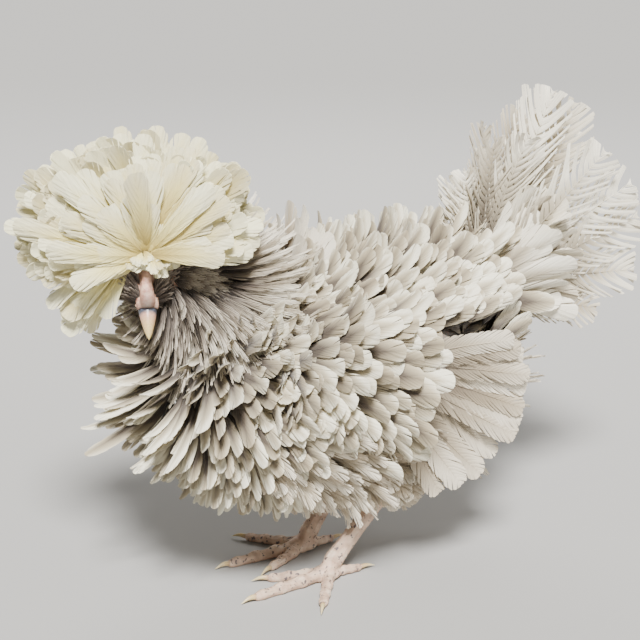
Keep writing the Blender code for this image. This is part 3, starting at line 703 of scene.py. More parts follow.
# Colours from the root to the tip; the dark root end is partly the feathers' own grey base and partly
# painted shade where each feather lies under the next. Near the face the dark set takes over, by the share
# in "shade".
hackleDark = ((0.0, "#1C1815"), (0.4, "#3F3730"), (0.75, "#7A6E62"), (1.0, "#BEB29E"))
plumage = {
    "crest": {"stops": ((0.0, "#9A8748"), (0.25, "#DDC972"), (0.6, "#FFF3A8"), (0.97, "#FFFBD4"))},
    "body": {"stops": ((0.0, "#2E2823"), (0.50, "#685E52"), (0.84, "#CFC4A8"), (1.0, "#FFFAE2")),
             "shade": 0.45, "near": 0.02, "far": 0.062, "edge": 0.36, "shift": -0.27},
    "hackle": {"stops": ((0.0, "#453C34"), (0.35, "#81756A"), (0.65, "#C9BDA6"), (0.95, "#F8F1DE")),
               "shade": 1.0, "near": 0.026, "far": 0.100},
    "face": {"stops": ((0.0, "#1D1916"), (0.4, "#3D342E"), (0.8, "#6E6358"), (1.0, "#A5998A"))},
    "flight": {"stops": ((0.0, "#564C41"), (0.3, "#7C7060"), (0.7, "#B7AA92"), (1.0, "#E6DCC6"))},
    "tail": {"stops": ((0.0, "#443C33"), (0.4, "#7A7060"), (0.75, "#CCC2AA"), (1.0, "#FCF6E2")),
             "edge": 0.42},
    "fluff": {"stops": ((0.0, "#544A3E"), (0.4, "#93856F"), (0.8, "#CDBFA4"), (1.0, "#F2E9D4")),
              "shade": 0.3},
}


# Keratin barbs: matt, with a soft sheen at grazing light. Colour runs from a dark base to a pale tip,
# partly the feathers' own grey and partly painted shade under the overlapping feathers.
# The barbs are 0.4 mm apart and drawn at barbPitch, so that they show.
barbPitch = 1.4


def featherFinish(name):
    look = plumage[name]
    material, tree, shader = newMaterial(
        "feather_" + name, Roughness=0.72, Sheen_Weight=0.25, Sheen_Roughness=0.5, Specular_IOR_Level=0.25
    )
    along, across, tone, barb = [ownAttribute(tree, key) for key in ("along", "across", "tone", "barb")]
    cloud = noiseAt(tree, objectPlace(tree), 38.0, 3.0)  # 26 mm clouds
    edge = computed(tree, "MULTIPLY_ADD", across, look.get("edge", 0.22), along)
    drift = computed(tree, "MULTIPLY_ADD", tone, 0.3, look.get("shift", -0.15))
    spot = computed(tree, "ADD", edge, drift)
    # painted shade: the ramp darkens each feather towards its root, partly its own grey base and partly the
    # shade under the feathers above it
    colour = addRamp(tree, spot, look["stops"])
    hue = addRamp(tree, cloud, ((0.3, "#D9D0C8"), (0.7, "#FFFFFF")))
    colour = mixColours(tree, 0.35, colour, hue, "MULTIPLY")
    each = addRamp(tree, tone, ((0.0, "#C4B9AA"), (0.7, "#FFFFFF")))
    colour = mixColours(tree, 0.55, colour, each, "MULTIPLY")
    if "shade" in look:
        shade = addFaceShade(tree, look.get("near", darkFace["near"]), look.get("far", darkFace["far"]))
        dark = addRamp(tree, spot, hackleDark)
        colour = mixColours(tree, computed(tree, "MULTIPLY", shade, look["shade"]), colour, dark)
    line = computed(tree, "SINE", computed(tree, "MULTIPLY", barb, 2 * pi / barbPitch))
    depth = computed(tree, "MULTIPLY_ADD", line, 0.10, 0.10)
    wired(tree, shader, mixColours(tree, depth, colour, fromHex("#6E655E")))
    return material


finishes = {name: featherFinish(name) for name in plumage}

# Crest: a dome of feathers laid away from the forehead, from a knob on the crown, with their tips on an
# ellipsoid. In "fan" are the directions, as the camera sees them from the forehead, in which no feather
# hangs over the face.
crestLook = {
    "rise": 15.0, "along": -2.0, "radius": 17.0, "count": 430, "front": 210, "width": 14.0, "seed": 11,
    "forehead": 38.0, "domeCentre": Vector((-127, 5, 241)), "dome": Vector((75, 68, 52)), "longest": 88,
    "lifts": ((0, 62, 16), (30, 58, 20), (60, 64, 40), (90, 72, 54), (120, 62, 34), (150, 34, 0)),
    "fan": (-157.0, 1.0), "layers": (1, 0.92, 0.72), "lobe": 26, "tuft": 60,
}
goldenTurn = 2.39996
imageRight = Vector((0.848, -0.530, 0))
towardCamera = Vector((-0.507, -0.811, 0.292))
imageUp = towardCamera.cross(imageRight)


def domeLength(root, way):
    axes = (imageRight, upright.cross(imageRight), upright)
    radii = crestLook["dome"]
    a = Vector([(root - crestLook["domeCentre"]).dot(axis) / radii[k] for k, axis in enumerate(axes)])
    b = Vector([way.dot(axis) / radii[k] for k, axis in enumerate(axes)])
    inside = a.dot(b) ** 2 - b.dot(b) * (a.dot(a) - 1)
    return (sqrt(max(inside, 0)) - a.dot(b)) / b.dot(b)


# Whether a feather from the forehead would hang in front of the face
def veilsFace(start, tip):
    way = tip - start
    fan = degrees(atan2(way.dot(imageUp), way.dot(imageRight)))
    return way.dot(towardCamera) > -30 and crestLook["fan"][0] < fan < crestLook["fan"][1]


def plantCrest():
    look = crestLook
    chance = np.random.default_rng(look["seed"])
    lifts = np.array(look["lifts"], float)
    centre = headPoint(look["along"], 0, look["rise"])
    tilt = radians(look["forehead"])
    forehead = beakward * sin(tilt) + crownward * cos(tilt)
    start = centre + forehead * look["radius"] * 0.75
    grown = []
    for item in range(look["count"] + look["front"]):
        around = item * goldenTurn + chance.uniform(-0.12, 0.12)
        onDome = item < look["count"]
        if onDome:
            polar = radians(degrees(acos(1 - 1.5 * (item + 0.5) / look["count"])))
            flat = beakward * cos(around) + headLeft * sin(around)
            out = (crownward * cos(polar) + flat * sin(polar)).normalized()
            turn = degrees(out.angle(forehead))
            liftRoot, liftTip = [np.interp(turn, lifts[:, 0], lifts[:, column]) for column in (1, 2)]
            layer = look["layers"][item % 3]
        else:  # more of them on the forehead, laid back over the dome one on another
            share = (item - look["count"]) / look["front"]
            apart = radians(6 + 50 * share)
            beside = forehead.cross(headLeft)
            flat = beside * cos(around) + headLeft * sin(around)
            out = (forehead * cos(apart) + flat * sin(apart)).normalized()
            liftRoot, liftTip = 58, chance.uniform(-6, 22)
            layer = chance.uniform(0.45, 0.95)
        if onDome and degrees(out.angle(crownward)) > 66 and out.dot(beakward) > 0.3:
            continue
        lie = (out - forehead * out.dot(forehead)) if degrees(out.angle(forehead)) > 4 else flat
        lie = (lie - out * lie.dot(out)).normalized()
        lie = Matrix.Rotation(chance.uniform(-0.5, 0.5), 3, out) @ lie
        root = centre + out * look["radius"] * 0.75
        lift = radians(liftRoot * 0.5 + liftTip * 0.5)
        way = lie * cos(lift) + out * sin(lift)
        length = min(domeLength(root, way) * chance.uniform(0.92, 1.06), look["longest"]) * layer
        if veilsFace(start, root + way * length):
            continue
        shape = (length, look["width"], liftRoot, liftTip)
        grown.append(feather(root, lie, shape, chance, spot=freeSpot(root, out)))
    for item in range(look["lobe"]):  # the lobe that hangs low on the head's right side
        root = centre - imageRight * chance.uniform(6, 16) + imageUp * chance.uniform(-9, 5)
        root = root + towardCamera * chance.uniform(-9, 9)
        lie = imageRight * chance.uniform(-0.95, -0.62) + imageUp * chance.uniform(-0.78, -0.5)
        lie, out = lie.normalized(), towardCamera - imageRight * 0.5 + imageUp * chance.uniform(-0.3, 0.3)
        out = out.normalized()
        shape = (chance.uniform(42, 62), 15.0, chance.uniform(6, 30), chance.uniform(-16, 6))
        grown.append(feather(root, lie, shape, chance, spot=freeSpot(root, out)))
    for item in range(look["tuft"]):  # short yellowish feathers that hang over the forehead
        around = radians(chance.uniform(-75, 75))
        way = (beakward * cos(around) + headLeft * sin(around)).normalized()
        aside = (forehead + headLeft * chance.uniform(-1.5, 1.5)).normalized()
        root = centre + aside * look["radius"] * 0.9
        shape = (chance.uniform(8, 17), 5.0, chance.uniform(18, 60), chance.uniform(0, 60))
        grown.append(feather(root, way - crownward * 0.5, shape, chance, spot=freeSpot(root, forehead)))
    return grown


growCoat("coat_crest", [("crest", plantCrest())], finishes["crest"], ("crest",))

# Face: small dark feathers that radiate from the beak, off the bare strip, the eyes, ears and wattles
faceLook = {"seed": 12, "eyeClear": 7.2, "sight": 7.0,
            "short": {"length": 8.0, "width": 3.0, "liftRoot": 12, "liftTip": 22}}


def tipOf(made, share=1.0):
    lift = radians(made["liftRoot"] * 0.5 + made["liftTip"] * 0.5)
    way = Vector(made["lie"]).normalized() * cos(lift) + Vector(made["out"]) * sin(lift)
    return Vector(made["root"]) + way * made["length"] * share


# Whether a feather would stand in the way of an eye's sight
def veilsEye(made):
    for side in (-1, 1):
        for share in (0.1, 0.3, 0.5, 0.7, 0.9):
            away = tipOf(made, share) - eyeCentre(side)
            along = away.dot(gazeOf(side))
            if -2 < along < 34 and (away - gazeOf(side) * along).length < faceLook["sight"] + 0.12 * along:
                return True
    return False


def eyeGap(place):
    return min((place - eyeCentre(side)).length for side in (-1, 1))


def plantFace():
    chance = np.random.default_rng(faceLook["seed"])
    grown = []
    muzzle = headPoint(25, 0, -1)
    reach = 1.2  # rings on the skull, from its back to the beak
    while reach < 7.2:
        for item in range(30):
            angle = radians((item + chance.uniform(-0.4, 0.4)) * 12)
            point = skinPoint(skullStations, reach + chance.uniform(-0.12, 0.12), angle, crownward)
            place, out, uv, apart = skinMap.under(point)
            local = place - headPose["centre"]
            along, side, rise = local.dot(beakward), abs(local.dot(headLeft)), local.dot(crownward)
            bareStrip = along > 8 and rise > 4.5 and side < 4.2
            onLobe = (Vector((along, side, rise)) - Vector((-8.6, 13.2, -4.4))).length < 4.2
            onWattle = along > 9 and -17 < rise < -8 and abs(side - 5.2) < 2.6
            if apart > 4.0 or bareStrip or onLobe or onWattle or eyeGap(place) < faceLook["eyeClear"]:
                continue
            far = (place - muzzle).length
            lie = (place - muzzle).normalized()
            length = np.interp(far, (4, 16, 30, 45), (9, 18, 28, 36))
            shape = (length, np.interp(far, (4, 45), (2.6, 5.4)), 24, 46)
            made = feather(point, lie, shape, chance, spot=(place, out, uv, apart))
            if veilsEye(made):
                made.update(faceLook["short"])
            grown.append(made)
        reach += 0.2
    for side, count in ((-1, 90), (1, 70)):  # longer ones stand out sideways from the cheeks
        for _ in range(count):
            point = headPoint(chance.uniform(-14, -3), 13 * side, chance.uniform(-12, 6))
            place, out, uv, apart = skinMap.under(point)
            if apart > 6 or eyeGap(place) < faceLook["eyeClear"] + 1:
                continue
            lie = (place - muzzle).normalized() + headLeft * side * 0.9
            shape = (chance.uniform(30, 46), 6.4, 34, 52)
            made = feather(point, lie, shape, chance, spot=(place, out, uv, apart))
            if not veilsEye(made):
                grown.append(made)
    return grown


growCoat("coat_face", [("bristle", plantFace())], finishes["face"])

# Neck rings: place, length above, length below, width, lift at the root, lift at the tip
neckTable = ((0.6, 50, 44, 8.5, 22, 50), (1.7, 56, 48, 7, 26, 62), (2.5, 58, 56, 6, 32, 72),
             (3.2, 52, 50, 5.2, 40, 78), (4.0, 38, 30, 4.6, 50, 88))
neckLook = {"seed": 31, "first": 0.5, "last": 3.95, "step": 0.11, "spacing": 0.6, "reach": 6.0,
            "short": {"length": 17.0, "width": 5.5, "liftRoot": 10, "liftTip": 20}}


# Hackles that would veil an eye are short and lie flat
def trimmed(made, position):
    if veilsEye(made):
        made.update(neckLook["short"])
    return True


hackles = plantRings(neckStations, neckTable, neckLook, -1, keep=trimmed)
# A few plumes stand up behind the crest
plumes = plantPatch((-44, -4, 176), 9, 9, (1, 0, 0.2), (58, 13, 66, 88), 33)
growCoat("coat_neck", [("hackle", hackles), ("broad", plumes)], finishes["hackle"], ("neck",))

# Torso rings: a long layer on the skin, and a shorter, denser one over it that curls at the surface
torsoTable = ((0.6, 78, 50, 9, 38, 62), (1.4, 68, 44, 10, 32, 58), (2.2, 52, 48, 11, 28, 60),
              (3.0, 46, 52, 12.5, 24, 56), (3.8, 44, 54, 13, 24, 52), (4.6, 42, 56, 13.5, 24, 48),
              (5.4, 42, 80, 13, 22, 46), (6.2, 44, 88, 13.5, 20, 42), (7.0, 50, 80, 14, 18, 38),
              (7.8, 58, 56, 15.5, 14, 32), (9.0, 60, 48, 16, 12, 28))
curlTable = ((0.6, 44, 34, 8.5, 32, 66), (1.4, 40, 32, 9, 28, 64), (2.2, 34, 30, 9.5, 22, 60),
             (3.0, 36, 36, 10.5, 18, 52), (3.8, 36, 40, 10.8, 17, 50), (5.4, 37, 48, 11.4, 17, 48),
             (7.0, 44, 52, 12.2, 15, 42), (9.0, 54, 44, 13, 12, 30))
onTorso = {"first": 0.35, "last": 9.2, "throat": Vector((-116, -4, 182)), "fanEnd": 3.9}
torsoLook = {**onTorso, "seed": 21, "pitch": 8.0, "spacing": 0.92, "droop": 4, "calm": 0.45}
curlLook = {**onTorso, "seed": 23, "pitch": 5.2, "spacing": 0.70, "droop": 10, "rise": 12.0, "reach": 6.5,
            "calm": 0.5, "ruffle": 46}
breastEnd, flankStart = 3.1, 1.3
coats = {"breast": [], "side_left": [], "side_right": [], "belly": []}


def sortCoat(made, position):
    x, _, z = made["root"]
    if -12 < x < 84 and 84 < z < 158 and abs(made["out"][1]) > 0.5:
        return False  # under the folded wing
    if position < 2 and (tipOf(made) - headPoint(38, 0, -3)).length < 28:
        return False  # in front of the beak
    onFlank = abs(made["out"][1]) > 0.55 or made["out"][2] > 0.5
    if position < (flankStart if onFlank else breastEnd):
        coats["breast"].append(made)
    elif made["out"][2] < -0.3:
        coats["belly"].append(made)
    else:
        coats["side_left" if made["out"][1] < 0 else "side_right"].append(made)
    return True


plantRings(torsoStations, torsoTable, torsoLook, keep=sortCoat)
plantRings(torsoStations, curlTable, curlLook, keep=sortCoat)
growCoat("coat_breast", [("lance", coats["breast"])], finishes["body"], ("torso",))
growCoat("coat_side_left", [("broad", coats["side_left"])], finishes["body"], ("torso",))
growCoat("coat_side_right", [("broad", coats["side_right"])], finishes["body"], ("torso",))
growCoat("coat_belly", [("fluff", coats["belly"])], finishes["fluff"], ("torso",))

# Wings: rings and patches of coverts, and the flights as x, z, droop, length and width
wingTable = ((0.2, 36, 36, 11.5, 20, 44), (0.8, 38, 38, 12.5, 18, 42), (1.4, 42, 42, 13.5, 16, 40),
             (2.0, 44, 44, 14, 14, 38))
flightTable = ((34, 154, -6, 74, 18), (38, 150, 5, 82, 19), (39, 146, 16, 88, 19),
               (38, 141, 27, 93, 19), (35, 137, 38, 96, 19), (31, 134, 49, 94, 19),
               (25, 131, 59, 86, 19))
wingLook = {"first": 0.1, "last": 1.9, "pitch": 5.2, "spacing": 0.56, "flights": 13,
            "rootOut": 69.0, "layer": 0.95}


def plantFlights(side):
    chance = np.random.default_rng(43 + side)
    table = np.array(flightTable, float)
    grown = []
    for number in range(wingLook["flights"]):
        place = number * 6 / (wingLook["flights"] - 1)
        x, z, droop, length, width = [np.interp(place, range(7), table[:, column]) for column in range(5)]
        root = Vector((x - 24, (wingLook["rootOut"] - number * wingLook["layer"]) * side, z))
        angle = radians(droop)
        lie = Vector((cos(angle), 0.10 * side, -sin(angle)))
        out = Vector((0, side, 0))
        made = feather(root, lie, (length, width * 0.84, 2, 16), chance, spot=freeSpot(root, out))
        made.update({"bend": chance.uniform(-0.05, 0.12) * -side, "twist": chance.uniform(-0.12, 0.12)})
        made["length"] = length  # flights keep their graded lengths
        grown.append(made)
    return grown


for name, side, foot, hock, knee in legs:
    look = {**wingLook, "seed": 41 + side}
    outer = lambda made, position: made["out"][1] * side > 0.0
    coverts = plantRings(wingStations(side), wingTable, look, keep=outer)
    shoulder, front = (-66, 52 * side, 152), (-84, 42 * side, 150)
    coverts += plantPatch(shoulder, 17, 54, (1, 0, -0.25), (38, 12.5, 16, 36), 45 + side)
    coverts += plantPatch(front, 18, 70, (1, 0.3 * side, -0.15), (30, 10.5, 18, 40), 48 + side)
    growCoat("coat_wing_" + name, [("broad", coverts)], finishes["body"], ("wing_" + name,))
    growCoat("flights_" + name, [("flight", plantFlights(side))], finishes["flight"], ("wing_" + name,))

# Tail: angle above level, spread to the side, length, width
rectrixTable = ((104, 4, 66, 24), (94, 3, 74, 26), (84, 3, 88, 30), (75, 5, 110, 36), (66, 7, 130, 40),
                (56, 10, 134, 42), (45, 13, 130, 42), (33, 16, 126, 42), (20, 20, 118, 40),
                (6, 25, 106, 36), (-9, 30, 88, 32))
tailLook = {"hub": Vector((108, 0, 166)), "root": 11.0, "layer": 1.3, "seed": 51}
tailTable = ((0.3, 54, 62, 16, 22, 34), (1.1, 60, 66, 17, 20, 30), (1.8, 62, 64, 17, 18, 26),
             (3.0, 58, 54, 16, 18, 24))
tailRingLook = {"seed": 52, "first": 0.2, "last": 2.9, "pitch": 5.2, "spacing": 0.5}


def plantRectrices():
    chance = np.random.default_rng(tailLook["seed"])
    table = np.array(rectrixTable, float)
    grown = []
    for side in (-1, 1):
        for number, (steep, spread, length, width) in enumerate(table):
            angle, lean = radians(steep), radians(spread) * side
            level = cos(lean)
            lie = Vector((cos(angle) * level, sin(lean), sin(angle) * level))
            out = Vector((-sin(angle) * 0.25, side, 0.1)).normalized()
            layer = Vector((0, (2 + tailLook["layer"] * number) * side, 0))
            root = tailLook["hub"] + layer + lie * tailLook["root"]
            made = feather(root, lie, (length, width, 0, 14), chance, spot=freeSpot(root, out))
            made.update({"bend": chance.uniform(-0.15, 0.15), "twist": chance.uniform(-0.3, 0.3)})
            grown.append(made)
    return grown


tailCoverts = plantRings(tailStations, tailTable, tailRingLook)
tailCoverts += plantPatch((140, 0, 188), 9, 34, (0.2, 0, 1), (50, 14, 62, 84), 53)
tailCoverts += plantPatch((116, 0, 156), 14, 44, (1, 0, -0.12), (76, 17, 14, 30), 54)
growCoat("coat_tail", [("ribbon", plantRectrices()), ("broad", tailCoverts)], finishes["tail"], ("tail",))

# Thighs
thighTable = ((0.5, 34, 34, 14, 24, 44), (2.0, 34, 34, 14, 18, 42), (3.0, 30, 30, 12, 14, 40),
              (4.0, 20, 20, 9, 10, 34))
thighLook = {"first": 0.8, "last": 3.9, "step": 0.22, "spacing": 0.6}
for name, side, foot, hock, knee in legs:
    look = {**thighLook, "seed": 61 + side}
    tufts = plantRings(thighStations(hock, knee), thighTable, look, upward=tailward)
    growCoat("coat_thigh_" + name, [("fluff", tufts)], finishes["fluff"], ("thigh_" + name,))


# Skin: bare on the face, dark quill-studded grey under the coat, the grey partly the colour of the down and
# partly painted shade in the gaps between the feathers
skinLook = {"under": "#8C8277", "bare": "#EBC0A6", "deep": "#C68E78", "dark": "#54483F",
            "span": (0.015, 0.022)}


def skinFinish():
    material, tree, shader = newMaterial(
        "bare_skin", Roughness=0.55, Subsurface_Weight=0.08, Subsurface_Scale=0.002
    )
    place = objectPlace(tree)
    mottle = noiseAt(tree, place, 260.0, 5.0)  # 4 mm mottling
    # under the coat: grey, partly the colour of the down and partly painted shade in the gaps between
    # feathers; darker near the face
    under = mixColours(tree, addFaceShade(tree), fromHex(skinLook["under"]), fromHex(skinLook["dark"]))
    bare = addRamp(tree, mottle, ((0.38, skinLook["deep"]), (0.56, skinLook["bare"])))
    near = mapped(tree, distanceTo(tree, place, headPoint(9, 0, 0)), skinLook["span"], (1.0, 0.0))
    grain = addNode(tree, "TexVoronoi", {"Scale": 900.0, "Vector": place})  # papillae 1 mm apart
    wired(tree, shader, mixColours(tree, near, under, bare), grain.outputs["Distance"], 0.35, 0.0005)
    return material


finished(skin, skinFinish(), "skin", "torso", "neck", "crest", "tail", "wing_left", "wing_right",
         "thigh_left", "thigh_right", "head")

print("stage: beak and eyes")
beakLook = {"base": 21.0, "tip": 44.0, "drop": 4.0, "nostril": (4.2, 4.4, 3.0), "taper": (
    (0.0, 1.0), (0.1, 0.99), (0.25, 0.93), (0.45, 0.8), (0.62, 0.64), (0.78, 0.46), (0.9, 0.28),
    (0.97, 0.13))}


def beakStations(tip, wide, above, below, drop, lower=0.0):
    rows = []
    for step, size in beakLook["taper"]:
        along = beakLook["base"] + (tip - beakLook["base"]) * step
        centre = headPoint(along, 0, -drop * step ** 2.4) - crownward * lower
        rows.append((centre, wide * size, above * size ** 0.9, below * size))
    rows.append((headPoint(tip, 0, -drop * 1.1) - crownward * lower, 0.15, 0.15, 0.15))
    return rows


def buildBeak():
    tip, drop = beakLook["tip"], beakLook["drop"]
    upper = ringTube("beak_upper_horn", beakStations(tip, 5.9, 6.4, 1.1, drop), 20, crownward)
    smoothed(upper, 2)
    along, out, rise = beakLook["nostril"]
    for side in (-1, 1):
        hole = ball("nostril", headPoint(beakLook["base"] + along, out * side, rise), (2.5, 1.2, 0.9))
        combined(upper, hole, "DIFFERENCE")
    stations = beakStations(tip - 3.6, 5.1, 1.8, 4.1, drop * 0.7, 2.1)
    lower = ringTube("beak_lower_horn", stations, 20, crownward)
    smoothed(lower, 2)
    return upper, lower


# Horn: smooth keratin with fine growth lines, pinkish grey at the base and yellow towards the tip
def hornFinish(name, stops, start, end):
    material, tree, shader = newMaterial(
        name, Roughness=0.34, Subsurface_Weight=0.06, Subsurface_Scale=0.002
    )
    place = objectPlace(tree)
    way = end - start
    offset = addNode(tree, "VectorMath", {"operation": "SUBTRACT", 0: place, 1: toWorld(start)}).outputs[0]
    reach = addNode(tree, "VectorMath", {"operation": "DOT_PRODUCT", 0: offset, 1: way.normalized()})
    colour = addRamp(tree, mapped(tree, reach.outputs["Value"], (0.0, way.length * 0.001)), stops)
    streak = noiseAt(tree, place, 900.0, 4.0)
    veil = addRamp(tree, streak, ((0.3, "#D9CFC4"), (0.7, "#FFFFFF")))
    wired(tree, shader, mixColours(tree, 0.6, colour, veil, "MULTIPLY"), streak)
    return material


beakStops = ((0.0, "#4E5260"), (0.38, "#565A66"), (0.47, "#D8A993"), (0.7, "#E6C38C"), (1.0, "#EBD28A"))
beakFinish = hornFinish("beak_horn", beakStops, headPoint(21, 0, 0), headPoint(44, 0, 0))
upperBeak, lowerBeak = buildBeak()
for piece, node in ((upperBeak, "beak_upper"), (lowerBeak, "beak_lower")):
    selectOnly(piece)
    bpy.ops.object.shade_smooth_by_angle(angle=radians(50))
    finished(piece, beakFinish, "horn", node)


def buildEye(name, side):
    gaze = gazeOf(side)
    eye = ball("eye_" + name + "_ball", eyeCentre(side), (eyePlace["radius"],) * 3, segments=48, rings=32)
    layer = eye.data.attributes.new("gaze", "FLOAT", "POINT")
    centre = toWorld(eyeCentre(side))
    for vert in eye.data.vertices:
        way = (vert.co - centre).normalized()
        turn = degrees(way.angle(gaze))
        layer.data[vert.index].value = turn
        if turn < 44:
            vert.co = centre + way * (eyePlace["radius"] + 0.35 * (1 - (turn / 44) ** 2)) * 0.001
    eye.data.shade_smooth()
    return eye


# Eye: wet cornea over a reddish-bay iris. The ramp runs from the middle of the pupil outwards.
eyeStops = ((0.0, "#050404"), (0.235, "#070505"), (0.26, "#7A3A16"), (0.40, "#A5561F"), (0.47, "#3A1E12"),
            (0.55, "#2A1A14"))


def eyeFinish():
    material, tree, shader = newMaterial("wet_eye", Roughness=0.05, Coat_Weight=1.0, Coat_Roughness=0.02)
    wired(tree, shader, addRamp(tree, computed(tree, "DIVIDE", ownAttribute(tree, "gaze"), 90.0), eyeStops))
    return material


wetEye = eyeFinish()
for name, side in (("left", 1), ("right", -1)):
    finished(buildEye(name, side), wetEye, "eye", "eye_" + name)

print("stage: feet")
toeStations = ((-0.08, 0.7, 6.5), (0.12, 1.0, 5.5), (0.22, 0.82, 4.2), (0.3, 0.8, 3.5),
               (0.38, 0.97, 3.7), (0.47, 0.78, 3.1), (0.56, 0.74, 2.9), (0.64, 0.88, 3.1),
               (0.72, 0.70, 2.7), (0.8, 0.66, 2.5), (0.87, 0.76, 2.7), (0.94, 0.6, 2.5),
               (0.975, 0.42, 2.5))
shankStations = ((-0.06, 4.4, 4.9), (0.06, 5.3, 6.3), (0.2, 4.6, 5.5), (0.4, 4.4, 5.3), (0.6, 4.6, 5.5),
                 (0.78, 5.0, 6.0), (0.88, 5.5, 6.5), (1.0, 6.1, 7.2), (1.09, 4.0, 4.6))


def toeDirection(turn, side):
    angle = radians(turn) * side
    return Vector((-cos(angle), sin(angle), 0))


def shankOf(foot, hock):
    ankle = foot + upright * ankleRise
    return [(ankle + (hock - ankle) * t, wide, deep, deep) for t, wide, deep in shankStations]


def toeOf(foot, direction, length, thick):
    rows = []
    for t, size, rise in toeStations:
        radius = thick / 2 * size
        centre = foot + direction * length * t + upright * max(rise, radius * 0.9)
        rows.append((centre, radius, radius, radius))
    return rows


# A raised plate on a tube's skin, rounded towards the free edge like a roof tile, its back in the flesh
def scutePlate(tree, stations, first, last, start, end, height, upward):
    points, faces = [], []
    for under in (False, True):
        for row in range(3):
            for column in range(3):
                v, u = row / 2, column / 2
                bow = 0.16 * (1 - (2 * u - 1) ** 2)
                place = first + (last - first) * (v + bow * v)
                guess = skinPoint(stations, place, start + (end - start) * u, upward)
                spot, normal, _, _ = tree.find_nearest(toWorld(guess))
                lift = height * (0.25 + 0.75 * v) * (1 - 0.35 * abs(2 * u - 1) ** 2)
                points.append(spot - normal * 0.0005 if under else spot + normal * lift * 0.001)
    for a in (0, 1, 3, 4):
        faces.append((a, a + 1, a + 4, a + 3))
        faces.append((a + 9, a + 12, a + 13, a + 10))
    rim = (0, 1, 2, 5, 8, 7, 6, 3)
    for a, b in zip(rim, rim[1:] + rim[:1]):
        faces.append((a, a + 9, b + 9, b))
    return points, faces


def buildFoot(name, side, foot, hock):
    parts = [ringTube("shank", shankOf(foot, hock), 20, tailward)]
    for toe, turn, length, thick in toes:
        direction = toeDirection(turn, side)
        parts.append(ringTube("toe", toeOf(foot, direction, length, thick), 16))
        across = direction.cross(upright)
        for share, size in ((0.14, 1.0), (0.38, 0.98), (0.64, 0.9), (0.87, 0.8)):
            pad = foot + direction * length * share + upright * 2.3
            radii = (length * 0.09, thick * 0.5 * size, 2.2)
            parts.append(ball("pad", pad, radii, (direction, across, upright), 16, 10))
    level = (tailward, Vector((0, 1, 0)), upright)
    parts.append(ball("sole_pad", foot + upright * 3.6, (7.5, 7.0, 3.5), level))
    leg = joined("foot_" + name + "_scaled", *parts)
    applied(leg, "REMESH", mode="VOXEL", voxel_size=0.0009)
    applied(leg, "SMOOTH", factor=0.5, iterations=4)
    edited(leg, bpy.ops.mesh.bisect, plane_co=(0, 0, 0), plane_no=upright, use_fill=True, clear_inner=True)
    tree = surfaceTree(leg.data)
    points, faces = [], []

    def place(stations, first, last, start, end, height, upward):
        plate = scutePlate(tree, stations, first, last, radians(start), radians(end), height, upward)
        shift = len(points)
        points.extend(plate[0])
        faces.extend([tuple(corner + shift for corner in face) for face in plate[1]])

    shank = shankOf(foot, hock)[::-1]
    rows = 19
    for row in range(rows):  # two columns of broad scutes in front, four of small ones behind
        low = 1.0 + 6.0 * row / rows
        high = low + 6.0 / rows * 1.25
        for start, end in ((95, 178), (182, 265)):
            shift = 0.5 * 6.0 / rows * (start > 170)
            place(shank, low + shift, high + shift, start, end, 0.55, tailward)
        for start in (20, 58, 270, 305):
            place(shank, low, high, start, start + 34, 0.38, tailward)
    for toe, turn, length, thick in toes:
        toeLine = toeOf(foot, toeDirection(turn, side), length, thick)
        count = max(6, int(length / 3.6))
        for row in range(count):
            low = 1.6 + 9.6 * row / count
            high = low + 9.6 / count * 1.25
            for start, end, height in ((-52, 52, 0.5), (56, 92, 0.3), (-92, -56, 0.3)):
                place(toeLine, low, high, start, end, height, upright)
    mesh = bpy.data.meshes.new("scutes")
    mesh.from_pydata(points, [], faces)
    scutes = linked("scutes", mesh)
    edited(scutes, bpy.ops.mesh.normals_make_consistent, inside=False)
    leg = joined("foot_" + name + "_scaled", leg, scutes)
    selectOnly(leg)
    bpy.ops.object.shade_smooth_by_angle(angle=radians(40))
    return leg


# Scaled skin: horny, slightly glossy, pale pink with scattered slate marks
def scaleFinish():
    material, tree, shader = newMaterial(
        "leg_scales", Roughness=0.48, Subsurface_Weight=0.06, Subsurface_Scale=0.002
    )
    place = objectPlace(tree)
    mottle = noiseAt(tree, place, 160.0, 4.0)
    colour = addRamp(tree, mottle, ((0.3, "#B5957F"), (0.55, "#DABBA2"), (0.8, "#EBD6C0")))
    mark = mapped(tree, noiseAt(tree, place, 420.0, 1.0), (0.62, 0.69))  # 2 mm marks
    colour = mixColours(tree, mark, colour, fromHex("#6B5E5C"))
    wired(tree, shader, colour, noiseAt(tree, place, 1500.0, 2.0))
    return material


def buildClaw():
    rows = []
    for t in (0.0, 0.12, 0.3, 0.5, 0.7, 0.86, 0.96, 1.0):
        size = (1 - t ** 1.5) * 0.96 + 0.04
        centre = Vector((t * clawLength, 0, 0.9 * sin(pi * min(t * 1.1, 1)) - 1.4 * t ** 2))
        rows.append((centre + planCentre, 1.75 * size, 2.0 * size, 1.7 * size))
    return smoothed(ringTube("claw_pattern", rows, 12), 1)


scaled = scaleFinish()
for name, side, foot, hock, knee in legs:
    finished(buildFoot(name, side, foot, hock), scaled, "scales", "foot_" + name)

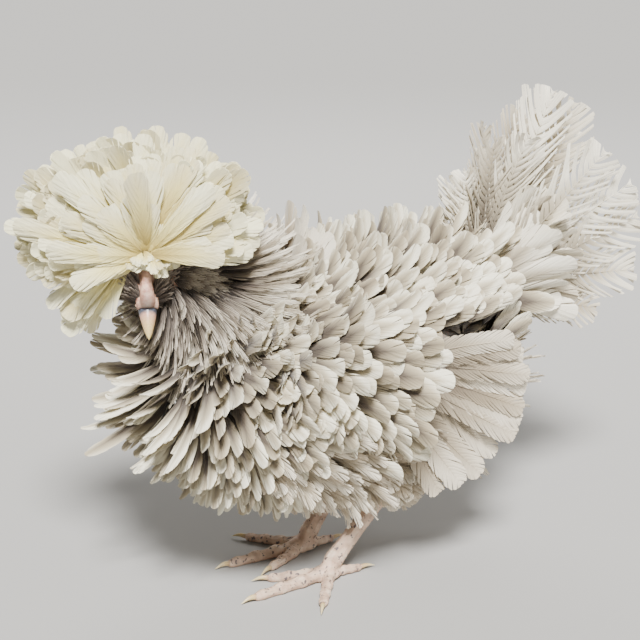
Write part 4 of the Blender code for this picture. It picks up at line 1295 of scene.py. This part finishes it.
clawPattern = buildClaw()
clawStops = ((0.0, "#C9A98C"), (0.3, "#DCC48E"), (1.0, "#E9DCAE"))
for name, side, foot, hock, knee in legs:
    for toe, turn, length, thick in toes:
        direction = toeDirection(turn, side)
        start = foot + direction * (length * 0.955) + upright * 2.6
        across = upright.cross(direction)
        claw = linked("claw_" + name + "_" + toe + "_horn", clawPattern.data.copy())
        claw.data.name = claw.name
        size = thick / 9.2 * 1.05
        sized = turnTo(direction, across, upright) @ Matrix.Diagonal((1.0, size, size, 1.0))
        claw.data.transform(Matrix.Translation(toWorld(start)) @ sized)
        claw.data.shade_smooth()
        horn = hornFinish("claw_horn_" + name + "_" + toe, clawStops, start, start + direction * clawLength)
        finished(claw, horn, "horn", "claw_" + name + "_" + toe)
bpy.data.objects.remove(clawPattern, do_unlink=True)

print("stage: floor, light, camera")
studio = {"target": Vector((0, 12, 158)), "azimuth": radians(-32), "elevation": radians(17),
          "distance": 1020.0, "lens": 91.07, "floor": "#A9A7A3", "world": "#E2E0DC", "worldStrength": 0.30}
lamps = (("key", "SUN", (-0.5, -0.9, 1.4), 9.4, 0.26), ("fill", "AREA", (1.0, -1.1, 0.5), 6, 1.0),
         ("rim", "AREA", (0.7, 1.0, 1.1), 12, 0.8))  # place, power, and angle or size


def buildStudio():
    bpy.ops.object.select_all(action="DESELECT")
    bpy.ops.mesh.primitive_plane_add(size=60)
    floor = bpy.context.object
    floor.name = "floor"
    material, tree, shader = newMaterial("studio_floor", Roughness=0.9)
    shader.inputs["Base Color"].default_value = fromHex(studio["floor"])
    floor.data.materials.append(material)
    floor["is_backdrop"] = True
    world = bpy.data.worlds.new("studio")
    world.use_nodes = True
    sky = world.node_tree.nodes["Background"].inputs
    sky["Color"].default_value = fromHex(studio["world"])
    sky["Strength"].default_value = studio["worldStrength"]
    bpy.context.scene.world = world
    for name, kind, place, power, size in lamps:
        light = bpy.data.lights.new(name, kind)
        light.energy = power
        setattr(light, "angle" if kind == "SUN" else "size", size)
        lamp = linked(name, light)
        lamp.location = place
        lamp.rotation_euler = (Vector((0, 0, 0.15)) - Vector(place)).to_track_quat("-Z", "Y").to_euler()
    camera = linked("camera", bpy.data.cameras.new("camera"))
    azimuth, elevation = studio["azimuth"], studio["elevation"]
    level = cos(elevation)
    back = Vector((sin(azimuth) * level, -cos(azimuth) * level, sin(elevation)))
    camera.location = toWorld(studio["target"] + back * studio["distance"])
    camera.rotation_euler = (-back).to_track_quat("-Z", "Y").to_euler()
    camera.data.sensor_width = 36
    camera.data.lens = studio["lens"]
    bpy.context.scene.camera = camera


buildStudio()
size = {"cad": [list(corner) for corner in cadBox], "visual": [list(corner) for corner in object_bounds()]}
print("stage: done")
